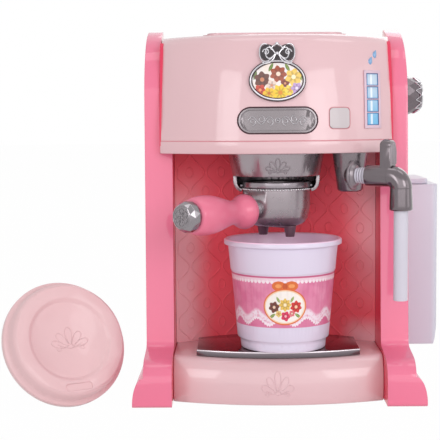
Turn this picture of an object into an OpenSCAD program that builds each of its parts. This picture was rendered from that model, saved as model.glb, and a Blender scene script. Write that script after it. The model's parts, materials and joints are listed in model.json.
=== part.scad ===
// Toy coffee maker with pull-out filter handle, steam wand, lift-off tank, cup and lid.
// Millimetres, +Z up, origin on the floor at the middle of the machine, front faces -Y.

/* [Body] */
// width over the two side panels
body_w = 180; // [150:1:220]
// height of the side panels
body_h = 252.9; // [220:0.1:280]
// rear edge of the side panels
rear_y = 80; // [70:1:95]
// front of the toes
toe_y = -79.5; // [-95:0.5:-70]
// thickness of a side panel beside the housing
panel_t = 10.5; // [8:0.5:14]
// thickness of a side panel beside the brewing bay
post_t = 19; // [14:0.5:24]
// radius of the upper front corner of a panel
panel_r = 50.7; // [30:0.1:60]
// sideways flare of the feet
flare = 7.35; // [0:0.05:10]

/* [Housing] */
// underside of the upper housing
housing_z = 166.8; // [155:0.1:175]
// top of the upper housing
housing_top = 246; // [235:0.5:255]
// plan radius of the bulged front
front_r = 119; // [100:1:150]
// distance of the bulge axis behind the middle
front_c = 50; // [40:1:60]
// flat rear face of the housing
back_y = 72.4; // [65:0.1:78]
// wall thickness of the mouldings
wall = 2.4; // [1.6:0.1:3]

/* [Front fittings] */
// width of the oval badge
badge_w = 37; // [30:1:42]
// height of the oval badge
badge_h = 27; // [20:1:32]
// height of the badge middle
badge_z = 214.9; // [208:0.1:222]
// width of the long name plate
plate_w = 51.4; // [40:0.2:60]
// height of the long name plate
plate_h = 16.1; // [12:0.1:20]
// height of the name plate middle
plate_z = 188.8; // [184:0.1:194]
// side of the push button
button_w = 13.6; // [10:0.2:16]
// sideways place of the push button
button_x = 41.1; // [36:0.1:46]
// height of the push button
button_z = 190; // [185:0.5:195]
// sideways place of the level indicator
level_x = 64.4; // [60:0.2:68]
// height of the indicator middle
level_z = 202.4; // [194:0.1:208]
// width of the level indicator
level_w = 11.8; // [9:0.1:14]
// height of the level indicator
level_h = 38.8; // [30:0.1:45]

/* [Brewing head] */
// place of the filter axis in front of the middle
head_y = -33.5; // [-40:0.5:-25]
// radius of the cone at its top
cone_r = 33; // [30:0.5:36]
// radius of the cone at its foot
cone_foot_r = 29.85; // [28:0.05:32]
// radius of the filter bowl
bowl_r = 23.2; // [20:0.1:25]
// angle of the handle from straight ahead
handle_a = 43; // [0:1:60]
// height of the handle axis
handle_z = 128.3; // [122:0.1:134]

/* [Steam wand] */
// sideways place of the tapered boss
boss_x = 49.4; // [45:0.2:55]
// place of the boss front to back
boss_y = -45; // [-50:0.5:-40]
// height of the arm axis
arm_z = 151.8; // [146:0.1:156]
// distance from the start of the arm to the tube axis
arm_l = 41; // [36:0.5:46]
// sideways place where the arm starts
arm_x = 44.5; // [40:0.1:50]
// place where the arm starts front to back
arm_y = -51.8; // [-56:0.1:-44]
// angle of the arm from straight ahead
arm_a = 60; // [30:0.2:75]
// lower end of the tube
tube_z = 70; // [55:1:80]
// radius of the tube
tube_r = 4.7; // [4:0.05:5.5]

/* [Tank] */
// outer face of the tank
tank_x = 118.4; // [112:0.1:125]
// front of the tank
tank_y0 = 10; // [5:1:20]
// rear of the tank
tank_y1 = 75; // [60:1:80]
// underside of the tank
tank_z0 = 25; // [15:1:30]
// top of the tank
tank_z1 = 141.6; // [130:0.1:150]

/* [Cup and tray] */
// sideways place of the cup
cup_x = 3.9; // [-6:0.1:8]
// place of the cup front to back
cup_y = -43.4; // [-48:0.1:-38]
// height of the cup rim over the floor
cup_top = 109.3; // [95:0.1:109.4]
// radius of the cup rim
cup_r = 40; // [36:0.2:41]
// radius of the cup foot
cup_foot_r = 28.8; // [26:0.2:32]
// top of the drip tray
tray_z = 34.8; // [32:0.1:38]
// width of the drip tray
tray_w = 110.4; // [100:0.1:120]
// diameter of the lid flange
lid_d = 86; // [84:0.5:90]

/* [Hidden] */
half = body_w / 2;
x_in = half - post_t;
x_up = half - panel_t;
foot_z = 0.5;
seam_z = housing_z + 8.5;
step_z = housing_top - 2;
base_r = 200;
base_c = 126;
base_top = 30.5;
slot_z = 151.3;
bowl_z = 117.2;
tip_z = 109.75;
elbow_z = 129.5;
hx = cos(270 - handle_a);
hy = sin(270 - handle_a);
ax = sin(arm_a);
ay = -cos(arm_a);
tube_x = arm_x + ax * arm_l;
tube_y = arm_y + ay * arm_l;
knob_y = -10;
knob_z = 205.2;
lid_at = [-145.74, -55.2, 38.5];
lid_tilt = 64.4;
lid_turn = -59.4;
part_gap = 0.35;

function arc(cx, cy, r, a0, a1, n) =
  [for (i = [0:n]) let (a = a0 + (a1 - a0) * i / n) [cx + r * cos(a), cy + r * sin(a)]];
function oval(w, h, n) = [for (i = [0:n - 1]) [w / 2 * cos(360 * i / n), h / 2 * sin(360 * i / n)]];

// ---- shared shapes ----

module rounded(w, h, r, fn = 24) {
  union() {
    square([w - 2 * r, h], center = true);
    square([w, h - 2 * r], center = true);
    for (sx = [-1, 1]) {
      for (sy = [-1, 1]) {
        translate([sx * (w / 2 - r), sy * (h / 2 - r)]) circle(r, $fn = fn);
      }
    }
  }
}

// pushes a drawing in the XZ plane along Y from y0 to y1
module along_y(y0, y1) {
  translate([0, y1, 0]) rotate([90, 0, 0]) linear_extrude(y1 - y0) children();
}

// pushes a drawing in the YZ plane along X from x0 to x1
module along_x(x0, x1) {
  translate([x0, 0, 0]) rotate([90, 0, 90]) linear_extrude(x1 - x0) children();
}

// puts something drawn around +Z on the handle axis, z = 0 at the bowl axis
module on_handle() {
  translate([0, head_y, handle_z]) rotate([0, 90, 270 - handle_a]) children();
}

// puts something drawn around +Z on the wand arm axis, z = 0 at the start of the arm
module on_arm() {
  translate([arm_x, arm_y, arm_z]) rotate([0, 90, arm_a - 90]) children();
}

// the front edge leans back from the toe to the upper arc; the top steps down behind the arc
module panel_side() {
  polygon(concat(
    [[rear_y, foot_z], [toe_y + 1.5, foot_z], [toe_y, foot_z + 1.5]],
    arc(toe_y + 15, 16, 15, 180, 98, 14),
    arc(-46.6, 39.2, 5.5, -98 + 16, -3.2, 8),
    arc(panel_r - 32.2, 200, panel_r, 176.8, 110, 16),
    arc(38.8, 144.5, 110, 108, 100, 4),
    arc(21.6, body_h - 2.2, 2.2, 86, 0, 5),
    [[23.8, step_z + 4], [27.8, step_z]],
    arc(rear_y - 28, step_z - 28, 28, 90, 0, 12)));
}

module panel_front() {
  polygon(concat(
    [[x_in, 0], [half + flare, 0], [half + flare, 2]],
    [for (a = [7.5:7.5:90]) [half + flare * cos(a), 2 + 18 * sin(a)]],
    [[half, body_h + 1], [x_up, body_h + 1], [x_up, housing_z], [x_in, housing_z]]));
}

module panel() {
  difference() {
    intersection() {
      along_x(x_in - 1, half + flare + 1) panel_side();
      along_y(toe_y - 1, rear_y + 1) panel_front();
    }
    translate([x_in - 1, 70, -1]) cube([x_up - x_in + 1, 12, housing_z + 1]);
    translate([x_in - 1, 14, 12]) cube([15, 44, 146]);
    translate([x_up - 1, -12, 214]) cube([7.5, 66, 22]);
    for (y = [-62, 62]) translate([half - 7, y, -1]) cylinder(h = 4.4, r = 5.6, $fn = 32);
    for (z = [20, 148]) translate([75, 60, z]) rotate([-90, 0, 0]) cylinder(h = 11, r = 1.45, $fn = 20);
  }
}

// the bulged housing as a solid, pulled in on every face by the given amount
module housing_solid(inset) {
  intersection() {
    translate([0, front_c, 0]) rotate_extrude($fn = 120) polygon([
      [0, housing_z], [front_r - inset, housing_z], [front_r - inset, seam_z],
      [front_r - 1.2 - inset, seam_z + 12], [front_r - 3.6 - inset, seam_z + 30],
      [front_r - 7 - inset, seam_z + 46], [front_r - 10 - inset, seam_z + 57],
      [front_r - 12.4 - inset, seam_z + 64.5 - inset], [front_r - 15.4 - inset, seam_z + 68.7 - inset],
      [front_r - 19.4 - inset, housing_top - inset], [0, housing_top - inset]]);
    translate([-x_up + 0.3 + inset, -100, housing_z - 10])
      cube([2 * (x_up - 0.3 - inset), 100 + back_y - inset, 200]);
  }
}

// a skin over the housing front between two heights above its surface
module skin(low, high) {
  difference() {
    housing_solid(-high);
    housing_solid(-low);
    translate([-150, -20, 0]) cube([300, 200, 400]);
  }
}

module plate_shape(extra) {
  translate([0, plate_z]) union() {
    square([plate_w - plate_h, plate_h + 2 * extra], center = true);
    for (s = [-1, 1]) translate([s * (plate_w - plate_h) / 2, 0]) circle(plate_h / 2 + extra, $fn = 40);
  }
}

module button_shape(extra) {
  translate([button_x, button_z]) rounded(button_w + 2 * extra, button_w + 2 * extra, 2.8 + extra, 20);
}

module level_shape(extra) {
  translate([level_x, level_z]) square([level_w + 2 * extra, level_h + 2 * extra], center = true);
}

// ---- body ----

module side_panel_left() {
  color([0.96, 0.52, 0.64]) mirror([1, 0, 0]) panel();
}

module side_panel_right() {
  color([0.96, 0.52, 0.64]) difference() {
    panel();
    translate([x_up - 1, knob_y, knob_z]) rotate([0, 90, 0]) cylinder(h = panel_t + 2, r = 3.05, $fn = 32);
  }
}

module housing_shell() {
  color([0.95, 0.8, 0.82]) difference() {
    intersection() {
      housing_solid(0);
      translate([-100, -100, seam_z + 0.2]) cube([200, 300, 100]);
    }
    housing_solid(wall);
    along_y(-90, -30) plate_shape(0.25);
    along_y(-90, -30) button_shape(part_gap);
    along_y(-90, -25) level_shape(-0.9);
    translate([60, knob_y, knob_z]) rotate([0, 90, 0]) cylinder(h = 30, r = 3.3, $fn = 32);
  }
}

module trim_band() {
  color([0.95, 0.8, 0.82]) difference() {
    intersection() {
      housing_solid(-0.2);
      translate([-x_up + 0.3, -100, housing_z]) cube([2 * x_up - 0.6, 100 + back_y, seam_z - housing_z]);
    }
    difference() {
      housing_solid(wall);
      translate([-100, -100, 0]) cube([200, 300, housing_z + wall]);
    }
    translate([0, 32, housing_z - 1]) cylinder(h = 5, r = 7, $fn = 32);
  }
}

module top_deck() {
  color([0.95, 0.8, 0.82]) union() {
    translate([0, 15, housing_top]) linear_extrude(2) rounded(100, 76, 12, 32);
    translate([0, 15, housing_top + 2]) linear_extrude(1.2) rounded(94, 70, 10, 32);
  }
}

module rear_cover() {
  color([0.95, 0.8, 0.82]) difference() {
    along_y(70, back_y) translate([0, (housing_z + 4) / 2]) rounded(2 * x_up - 0.8, housing_z - 5, 2.5);
    along_y(69, 73) translate([0, 44]) square([72, 44], center = true);
    along_y(69, 73) translate([0, 72]) circle(1.8, $fn = 20);
    for (z = [108:6:144]) along_y(69, 73) translate([0, z])
      rounded(2 * sqrt(400 - (z - 126) * (z - 126)) + 1, 2.4, 1.1, 16);
    along_y(69, 73) translate([52, 100]) square([13, 7], center = true);
    for (s = [-1, 1]) for (z = [20, 148]) along_y(69, 73) translate([s * 75, z]) circle(1.6, $fn = 20);
  }
}

module back_wall() {
  color([0.93, 0.73, 0.77]) intersection() {
    translate([0, 7 - 175.5, 0]) rotate_extrude($fn = 180) translate([175.5, base_top])
      square([wall, housing_z - base_top]);
    translate([-x_in + 0.1, -20, 0]) cube([2 * x_in - 0.2, 60, 200]);
  }
}

module base_solid(inset) {
  intersection() {
    translate([0, base_c, 0]) rotate_extrude($fn = 180) polygon([
      [0, 0], [base_r - 1.6 - inset, 0], [base_r - 0.5 - inset, 4.5], [base_r - inset, 11],
      [base_r - 0.5 - inset, 17.5], [base_r - 2.2 - inset, 23], [base_r - 4.6 - inset, 27.4 - inset],
      [base_r - 7.6 - inset, base_top - 0.8 - inset], [base_r - 11 - inset, base_top - inset],
      [0, base_top - inset]]);
    translate([-x_in + 0.15 + inset, -100, -1]) cube([2 * (x_in - 0.15 - inset), 100 + 69.9 - inset, 60]);
  }
}

module base_housing() {
  color([0.95, 0.8, 0.82]) difference() {
    base_solid(0);
    base_solid(wall);
    translate([-35.5, 45.5, 20]) cube([71, 40, 20]);
  }
}

module base_pan() {
  color([0.93, 0.77, 0.8]) difference() {
    intersection() {
      base_solid(wall + 0.1);
      translate([-100, -100, -1]) cube([200, 200, 3.2]);
    }
    for (s = [-1, 1]) for (y = [-40, 50]) translate([s * 60, y, -1]) cylinder(h = 6, r = 2, $fn = 20);
  }
}

module foot_pads() {
  color([0.25, 0.22, 0.24]) for (s = [-1, 1]) for (y = [-62, 62])
    translate([s * (half - 7), y, 0]) cylinder(h = 3.3, r = 5.55, $fn = 32);
}

// ---- front fittings ----

module badge_frame() {
  color([0.72, 0.7, 0.72]) difference() {
    intersection() {
      skin(0, 2.2);
      along_y(-100, -20) translate([0, badge_z]) union() {
        polygon(oval(badge_w, badge_h, 48));
        translate([0, badge_h / 2 + 2]) square([10, 6.4], center = true);
        for (s = [-1, 1]) translate([s * 6.3, badge_h / 2 + 5]) circle(5.3, $fn = 32);
        translate([0, badge_h / 2 + 6]) circle(3.2, $fn = 24);
      }
    }
    intersection() {
      skin(0.9, 4);
      along_y(-100, -20) translate([0, badge_z]) polygon(oval(badge_w - 3.2, badge_h - 3.2, 48));
    }
  }
}

module badge_insert() {
  color([0.95, 0.9, 0.88]) intersection() {
    skin(0.9, 1.7);
    along_y(-100, -20) translate([0, badge_z]) polygon(oval(badge_w - 3.4, badge_h - 3.4, 48));
  }
}

module name_plate() {
  color([0.62, 0.6, 0.63]) difference() {
    union() {
      intersection() {
        skin(-2, 0.9);
        along_y(-100, -20) plate_shape(0.15);
      }
      intersection() {
        skin(-3.6, -2.5);
        along_y(-100, -20) plate_shape(1.6);
      }
      intersection() {
        skin(-2.6, -1.9);
        along_y(-100, -20) plate_shape(0.15);
      }
    }
    intersection() {
      skin(0.3, 3);
      along_y(-100, -20) plate_shape(-1.3);
    }
  }
}

module indicator_frame() {
  color([0.93, 0.88, 0.9]) difference() {
    union() {
      intersection() {
        skin(0, 0.8);
        along_y(-100, -20) level_shape(0);
      }
      intersection() {
        skin(-wall, 0.1);
        along_y(-100, -20) level_shape(-0.95);
      }
    }
    for (i = [0:3]) along_y(-100, -20) translate([level_x, level_z - 13.2 + i * 8.8])
      square([8.4, 8.2], center = true);
  }
}

module indicator_bars() {
  color([0.5, 0.76, 0.92]) for (i = [0:3]) intersection() {
    skin(-wall, 0.45);
    along_y(-100, -20) translate([level_x, level_z - 13.2 + i * 8.8]) square([8.3, 8.1], center = true);
  }
}

// slides in along +Y by 2.5 mm; the flange behind the wall holds it
module push_button() {
  color([0.88, 0.85, 0.86]) union() {
    intersection() {
      skin(-wall - 3.4, 0.7);
      along_y(-100, -20) button_shape(0);
    }
    intersection() {
      skin(-wall - 1.8, -wall - 0.4);
      along_y(-100, -20) button_shape(1.4);
    }
    translate([button_x, -47, button_z]) rotate([90, 0, 0]) cylinder(h = 8, r = 3.2, $fn = 24);
  }
}

// ---- brewing head ----

module group_head() {
  color([0.58, 0.56, 0.59]) translate([0, head_y, 0]) rotate_extrude($fn = 96) polygon([
    [22, slot_z], [cone_foot_r - 0.4, slot_z], [cone_foot_r, slot_z + 0.5], [cone_r - 0.3, housing_z - 1.2],
    [cone_r, housing_z - 0.05], [10, housing_z - 0.05], [10, housing_z - 2.4], [24, housing_z - 2.4],
    [22, slot_z + 2.5]]);
}

// open to the front; the hooks at its foot carry the rim of the basket ring
module filter_collar() {
  color([0.58, 0.56, 0.59]) difference() {
    translate([0, head_y, slot_z]) rotate_extrude($fn = 80) polygon([
      [23.9, -8.7], [23.9, -10.6], [24.9, -11], [27.2, -9.7], [28.9, -7.3], [cone_foot_r - 0.1, -4.2],
      [cone_foot_r - 0.1, 0], [27.35, 0], [27.1, -5.4], [26.3, -7.4], [25.2, -8.6]]);
    translate([-40, head_y - 44, slot_z - 12]) cube([80, 40, 13]);
  }
}

module basket_ring() {
  color([0.66, 0.64, 0.66]) union() {
    translate([0, head_y, slot_z - 8.1]) rotate_extrude($fn = 80) polygon([
      [20, 0], [bowl_r - 0.4, 0], [bowl_r + 0.1, 0.5], [bowl_r + 0.1, 3.6], [bowl_r - 0.3, 4],
      [21.5, 4], [20, 2.8]]);
    intersection() {
      translate([0, head_y, slot_z - 8.1]) rotate_extrude($fn = 80) translate([22, 0]) square([3, 1.7]);
      translate([-40, head_y + 2, 130]) cube([80, 40, 30]);
    }
  }
}

module filter_bowl() {
  color([0.6, 0.58, 0.61]) union() {
    translate([0, head_y, 0]) rotate_extrude($fn = 80) polygon([
      [0, bowl_z], [15.4, bowl_z], [17.8, bowl_z + 0.9], [20, bowl_z + 2.6], [21.5, bowl_z + 5],
      [22.2, bowl_z + 8], [bowl_r, bowl_z + 13], [bowl_r, slot_z - 8.45], [19.6, slot_z - 8.45],
      [19.6, slot_z - 5], [17.8, slot_z - 5], [17.8, bowl_z + 6], [15.6, bowl_z + 3], [0, bowl_z + 2.6]]);
  }
}

module twin_spout() {
  color([0.5, 0.46, 0.5]) translate([0, head_y, 0]) rotate([0, 0, 270 - handle_a]) union() {
    translate([-4, -12, bowl_z - 1.4]) cube([8, 24, 1.4]);
    for (s = [-1, 1]) translate([0, s * 12.2, tip_z]) difference() {
      cylinder(h = bowl_z - tip_z, r1 = 3, r2 = 4.3, $fn = 32);
      translate([0, 0, -1]) cylinder(h = 5, r = 1.8, $fn = 24);
    }
  }
}

module handle_ferrule() {
  color([0.7, 0.68, 0.7]) difference() {
    on_handle() union() {
      translate([0, 0, 21.4]) cylinder(h = 4.2, r = 6.9, $fn = 40);
      translate([0, 0, 25.6]) cylinder(h = 2, r1 = 6.9, r2 = 8, $fn = 40);
    }
    translate([0, head_y, 110]) cylinder(h = 40, r = bowl_r + 0.02, $fn = 80);
  }
}

module handle_grip() {
  color([0.96, 0.56, 0.68]) on_handle() difference() {
    rotate_extrude($fn = 64) polygon(concat(
      [[0, 27.6], [7.6, 27.6], [9.8, 28.6], [11.2, 30.4], [11.75, 33], [11.3, 35.4], [10.2, 37.6],
        [9, 39.6], [8.2, 41.8], [8, 44.6], [8.3, 47.6], [9.2, 51.4], [10.4, 55.6], [11.7, 60.4],
        [12.6, 65], [13, 70], [12.9, 74.6], [12.3, 78.6], [11.2, 81.4], [10.4, 82], [0, 82]]));
    translate([0, 0, 76]) cylinder(h = 7, r = 4.05, $fn = 32);
  }
}

module handle_cap() {
  color([0.68, 0.66, 0.68]) on_handle() union() {
    translate([0, 0, 77]) cylinder(h = 5.5, r = 4, $fn = 32);
    translate([0, 0, 82.05]) cylinder(h = 1.4, r1 = 9.4, r2 = 10.2, $fn = 48);
    translate([0, 0, 83.45]) cylinder(h = 5.2, r1 = 10.2, r2 = 9.9, $fn = 48);
    translate([0, 0, 88.65]) cylinder(h = 2.6, r1 = 9.9, r2 = 8.3, $fn = 48);
    translate([0, 0, 91.25]) cylinder(h = 0.6, r = 7.4, $fn = 48);
  }
}

// ---- steam wand ----

module wand_boss() {
  color([0.56, 0.53, 0.56]) difference() {
    union() {
      translate([boss_x, boss_y, 0]) rotate_extrude($fn = 64) polygon([
        [0, 140.6], [7.2, 140.6], [8.5, 141.8], [11.95, housing_z - 0.05], [0, housing_z - 0.05]]);
      on_arm() translate([0, 0, -6]) cylinder(h = 12.2, r = 7.4, $fn = 40);
    }
    on_arm() translate([0, 0, -4]) cylinder(h = 20, r = 4.05, $fn = 32);
    on_arm() translate([0, 0, 6.2]) cylinder(h = 10, r = 9.9, $fn = 40);
  }
}

module wand_collar() {
  color([0.62, 0.6, 0.62]) on_arm() difference() {
    union() {
      translate([0, 0, 6.25]) cylinder(h = 1.7, r = 9.6, $fn = 48);
      translate([0, 0, 7.95]) cylinder(h = 1.9, r1 = 8.2, r2 = 6.6, $fn = 48);
    }
    translate([0, 0, 5]) cylinder(h = 8, r = 4.05, $fn = 32);
  }
}

module wand_sleeve() {
  color([0.88, 0.86, 0.9]) on_arm() union() {
    translate([0, 0, -3.5]) cylinder(h = 26, r = 4, $fn = 32);
    for (i = [0:3]) translate([0, 0, 9.9 + i * 1.8]) cylinder(h = 1.2, r = 5.2 + i * 0.1, $fn = 40);
  }
}

module wand_elbow() {
  color([0.56, 0.53, 0.56]) difference() {
    union() {
      on_arm() translate([0, 0, 17.2]) cylinder(h = arm_l - 8 - 17.2, r1 = 6.9, r2 = 7.1, $fn = 40);
      translate([arm_x, arm_y, arm_z - 8]) rotate([0, 0, arm_a - 90]) intersection() {
        translate([arm_l - 8, 0, 0]) rotate([90, 0, 0]) rotate_extrude($fn = 64) translate([8, 0])
          circle(7.2, $fn = 32);
        translate([arm_l - 8, -10, 0]) cube([20, 20, 20]);
      }
      translate([tube_x, tube_y, 0]) rotate_extrude($fn = 40) polygon([[0, elbow_z], [6.9, elbow_z],
        [7.6, elbow_z + 0.7], [7.6, elbow_z + 3], [7.1, arm_z - 8], [0, arm_z - 8]]);
      translate([arm_x, arm_y, 0]) rotate([0, 0, arm_a - 90]) translate([arm_l - 9.4, 0, 0]) thumb_tab();
    }
    on_arm() translate([0, 0, 16]) cylinder(h = 7, r = 4.35, $fn = 32);
    translate([tube_x, tube_y, elbow_z - 1]) cylinder(h = 8, r = tube_r + 0.05, $fn = 32);
  }
}

module thumb_tab() {
  difference() {
    intersection() {
      along_x(-3.7, 3.7) union() {
        translate([0, arm_z + 9]) square([9.2, 21.6], center = true);
        translate([0, arm_z + 19.8]) circle(4.6, $fn = 32);
      }
      along_y(-5, 5) union() {
        translate([0, arm_z + 8]) square([7.4, 25.4], center = true);
        translate([0, arm_z + 20.7]) circle(3.7, $fn = 32);
      }
    }
    for (i = [-1:1]) translate([3.9, i * 2.4, arm_z + 14]) cylinder(h = 12, r = 0.6, $fn = 16);
  }
}

module wand_tube() {
  color([0.88, 0.87, 0.9]) translate([tube_x, tube_y, 0]) difference() {
    translate([0, 0, tube_z]) cylinder(h = elbow_z + 6.5 - tube_z, r = tube_r, $fn = 48);
    translate([0, 0, tube_z - 1]) cylinder(h = 20, r = 3.1, $fn = 32);
  }
}

// ---- knob on the right panel ----

module steam_knob() {
  color([0.56, 0.53, 0.56]) translate([0, knob_y, knob_z]) rotate([0, 90, 0]) difference() {
    rotate_extrude($fn = 64) polygon([[0, half + 0.4], [13.3, half + 0.4], [13.7, half + 0.9],
      [13.5, half + 2.6], [9.7, half + 11.2], [9.1, half + 11.8], [0, half + 11.8]]);
    translate([0, 0, half - 1]) cylinder(h = 8, r = 3, $fn = 32);
  }
}

module knob_cap() {
  color([0.66, 0.64, 0.66]) translate([half + 11.8, knob_y, knob_z]) rotate([0, 90, 0])
    cylinder(h = 0.8, r = 8.6, $fn = 48);
}

module knob_shaft() {
  color([0.6, 0.6, 0.62]) translate([0, knob_y, knob_z]) rotate([0, 90, 0]) union() {
    translate([0, 0, 73]) cylinder(h = half + 7 - 73, r = 2.98, $fn = 32);
    translate([0, 0, 73.4]) cylinder(h = 2, r = 6, $fn = 32);
  }
}

// ---- tank ----

module tank_bracket() {
  color([0.93, 0.77, 0.8]) union() {
    translate([half, 24, tank_z0 + 14]) cube([2, 36, 86]);
    translate([half + 1.9, 38, tank_z0 + 18]) cube([3.2, 8, 76]);
    translate([half + 5, 34, tank_z0 + 18]) cube([2, 16, 76]);
  }
}

module tank_plan(x0, inset) {
  translate([(x0 + tank_x) / 2, (tank_y0 + tank_y1) / 2])
    rounded(tank_x - x0 - 2 * inset, tank_y1 - tank_y0 - 2 * inset, 5 - inset * 0.8, 24);
}

module water_tank() {
  color([0.9, 0.87, 0.92, 0.6]) difference() {
    intersection() {
      translate([0, 0, tank_z0]) linear_extrude(tank_z1 - tank_z0) tank_plan(half + 2.4, 0);
      along_y(0, 100) polygon([[half, tank_z0 - 1], [tank_x - 3, tank_z0 - 1], [tank_x - 1.6, tank_z0 + 4],
        [tank_x, tank_z0 + 14], [tank_x + 1, tank_z1 + 1], [half, tank_z1 + 1]]);
    }
    translate([half + 10, tank_y0 + 2, tank_z0 + 4])
      cube([tank_x - half - 12.6, tank_y1 - tank_y0 - 4, tank_z1 - tank_z0 - 6]);
    translate([half + 10, tank_y0 + 6, tank_z1 - 10]) cube([10, tank_y1 - tank_y0 - 12, 20]);
    translate([half + 2, 37.6, 0]) cube([3.4, 8.8, tank_z0 + 94.4]);
    translate([half + 4.6, 33.6, 0]) cube([2.8, 16.8, tank_z0 + 94.4]);
  }
}

module tank_lid() {
  color([0.9, 0.87, 0.92, 0.6]) difference() {
    union() {
      translate([half + 12.1, (tank_y0 + tank_y1) / 2, tank_z1 + 0.35])
        linear_extrude(3.65) rounded(18.8, 59, 3, 20);
      translate([half + 10.4, tank_y0 + 6.4, tank_z1 - 3.4]) cube([9.2, tank_y1 - tank_y0 - 12.8, 4]);
    }
    translate([half + 15, (tank_y0 + tank_y1) / 2, tank_z1 - 4]) linear_extrude(6) rounded(6.4, 48, 2, 16);
  }
}

// ---- tray, cup and lid ----

module tray_plan(inset) {
  intersection() {
    translate([0, -30]) rounded(tray_w - 2 * inset, 90 - 2 * inset, 3);
    translate([0, 76]) circle(143 - inset, $fn = 120);
    translate([0, -98.5]) circle(102.5 - inset, $fn = 96);
  }
}

module drip_tray() {
  color([0.5, 0.46, 0.49]) difference() {
    translate([0, 0, base_top + 0.3]) linear_extrude(tray_z - base_top - 0.3) tray_plan(0);
    translate([0, 0, base_top]) linear_extrude(1.5) tray_plan(2);
  }
}

module cup() {
  color([0.88, 0.85, 0.92]) translate([cup_x, cup_y, 0]) rotate_extrude($fn = 96) polygon([
    [0, tray_z + 2.2], [cup_foot_r - 2.4, tray_z + 2.2], [cup_foot_r - 2, tray_z + part_gap],
    [cup_foot_r - 0.5, tray_z + part_gap], [cup_foot_r, tray_z + 0.9], [cup_foot_r + 0.5, 41.8], [30.8, 42.4],
    [31.2, 43.2], [35.15, 87.7], [35.7, 88.2], [37.3, cup_top - 4], [cup_r - 0.4, cup_top - 3.8],
    [cup_r, cup_top - 3.3], [cup_r, cup_top - 0.9], [cup_r - 0.6, cup_top - 0.1], [cup_r - 1.4, cup_top],
    [cup_r - 2.9, cup_top - 0.6], [cup_r - 3.4, cup_top - 2], [33.5, 86], [29.4, 47], [28.4, 44.6], [cup_foot_r - 1.6, 38.8], [0, 38.8]]);
}

module cup_lid() {
  color([0.95, 0.8, 0.82]) translate(lid_at) rotate([0, lid_tilt, lid_turn]) difference() {
    rotate_extrude($fn = 96) polygon([
      [lid_d / 2 - 2.4, 0], [lid_d / 2 - 0.5, 0], [lid_d / 2, 0.7], [lid_d / 2, 4.2], [lid_d / 2 - 0.7, 5],
      [lid_d / 2 - 2.4, 5.4], [38.9, 12.4], [38.2, 13.9], [36.8, 15], [29.3, 15], [28.3, 14.6], [27.2, 13.3],
      [26.2, 12.6], [0, 12.6], [0, 11], [26.6, 11], [28, 11.8], [29.6, 13.4], [36.2, 13.4], [37.2, 12.4],
      [lid_d / 2 - 4.2, 5], [lid_d / 2 - 2.4, 3.4]]);
    translate([32.8, 0, 14.2]) rotate([0, 0, 90]) linear_extrude(2) rounded(18.6, 4.6, 2.1, 20);
  }
}

// ---- inside and rear ----

module battery_box() {
  color([0.9, 0.88, 0.9]) difference() {
    union() {
      translate([-35, 46, 22.4]) cube([70, 23.9, 43.2]);
      along_y(60, 69.9) translate([0, 72]) circle(4.4, $fn = 32);
      translate([-4, 60, 64]) cube([8, 9.9, 5]);
    }
    translate([-33, 48, 24.4]) cube([66, 30, 39.2]);
    along_y(61, 75) translate([0, 72]) circle(1.45, $fn = 20);
  }
}

module battery_door() {
  color([0.95, 0.8, 0.82]) difference() {
    union() {
      along_y(back_y, back_y + 1.8) translate([0, 48.4]) rounded(78, 60, 3);
      along_y(70.2, back_y + 0.1) translate([0, 44]) square([71.4, 43.4], center = true);
    }
    along_y(70, 76) translate([0, 72]) circle(1.8, $fn = 20);
    along_y(73.6, 76) for (z = [28, 31, 34]) translate([0, z]) square([20, 1], center = true);
  }
}

module screw(length) {
  rotate([90, 0, 0]) difference() {
    union() {
      cylinder(h = length, r = 1.4, $fn = 20);
      translate([0, 0, -1.6]) cylinder(h = 1.6, r1 = 2.6, r2 = 3, $fn = 28);
    }
    translate([-2.2, -0.35, -2]) cube([4.4, 0.7, 1]);
    translate([-0.35, -2.2, -2]) cube([0.7, 4.4, 1]);
  }
}

module door_screw() {
  color([0.7, 0.7, 0.72]) translate([0, back_y + 1.85, 72]) screw(11);
}

module panel_screws() {
  color([0.7, 0.7, 0.72]) for (s = [-1, 1]) for (z = [20, 148]) translate([s * 75, back_y + 0.05, z]) screw(11);
}

module batteries() {
  color([0.45, 0.6, 0.4]) for (z = [31.5, 56.5]) translate([-25.2, 58.5, z]) rotate([0, 90, 0]) union() {
    cylinder(h = 49, r = 7.1, $fn = 40);
    translate([0, 0, 49]) cylinder(h = 1.4, r = 2.7, $fn = 24);
  }
}

module battery_contacts() {
  color([0.8, 0.7, 0.4]) for (s = [-1, 1]) translate([s > 0 ? 25.4 : -26, 50.5, 24.4]) cube([0.6, 16, 39.2]);
}

module circuit_board() {
  color([0.2, 0.45, 0.3]) union() {
    translate([24, -30, housing_z + wall]) cube([48, 1.6, 54]);
    translate([button_x - 4, -34, button_z - 4]) cube([8, 4.1, 8]);
    translate([28, -28.4, 196]) cube([10, 1.4, 10]);
  }
}

module lamps() {
  color([0.9, 0.95, 1]) for (i = [0:3]) translate([level_x - 1, -30, level_z - 13.2 + i * 8.8])
    rotate([90, 0, 0]) cylinder(h = 5, r = 2.2, $fn = 24);
}

module button_spring() {
  color([0.75, 0.75, 0.78]) for (i = [0:5]) translate([button_x, -34.5 - i * 0.95, button_z])
    rotate([90, 0, 0]) rotate_extrude($fn = 32) translate([2.6, 0]) circle(0.5, $fn = 16);
}

module speaker() {
  color([0.2, 0.2, 0.22]) translate([0, 69.9, 126]) rotate([90, 0, 0]) rotate_extrude($fn = 64) polygon([
    [0, 6], [6, 6], [17, 1], [21, 0], [21, 2], [18, 3], [11, 9], [11, 13], [0, 13]]);
}

module power_switch() {
  color([0.35, 0.32, 0.34]) union() {
    translate([41, 66.8, 94]) cube([16, 2.8, 12]);
    translate([46.2, 69, 97]) cube([5.4, 5.2, 6]);
  }
}

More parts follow.
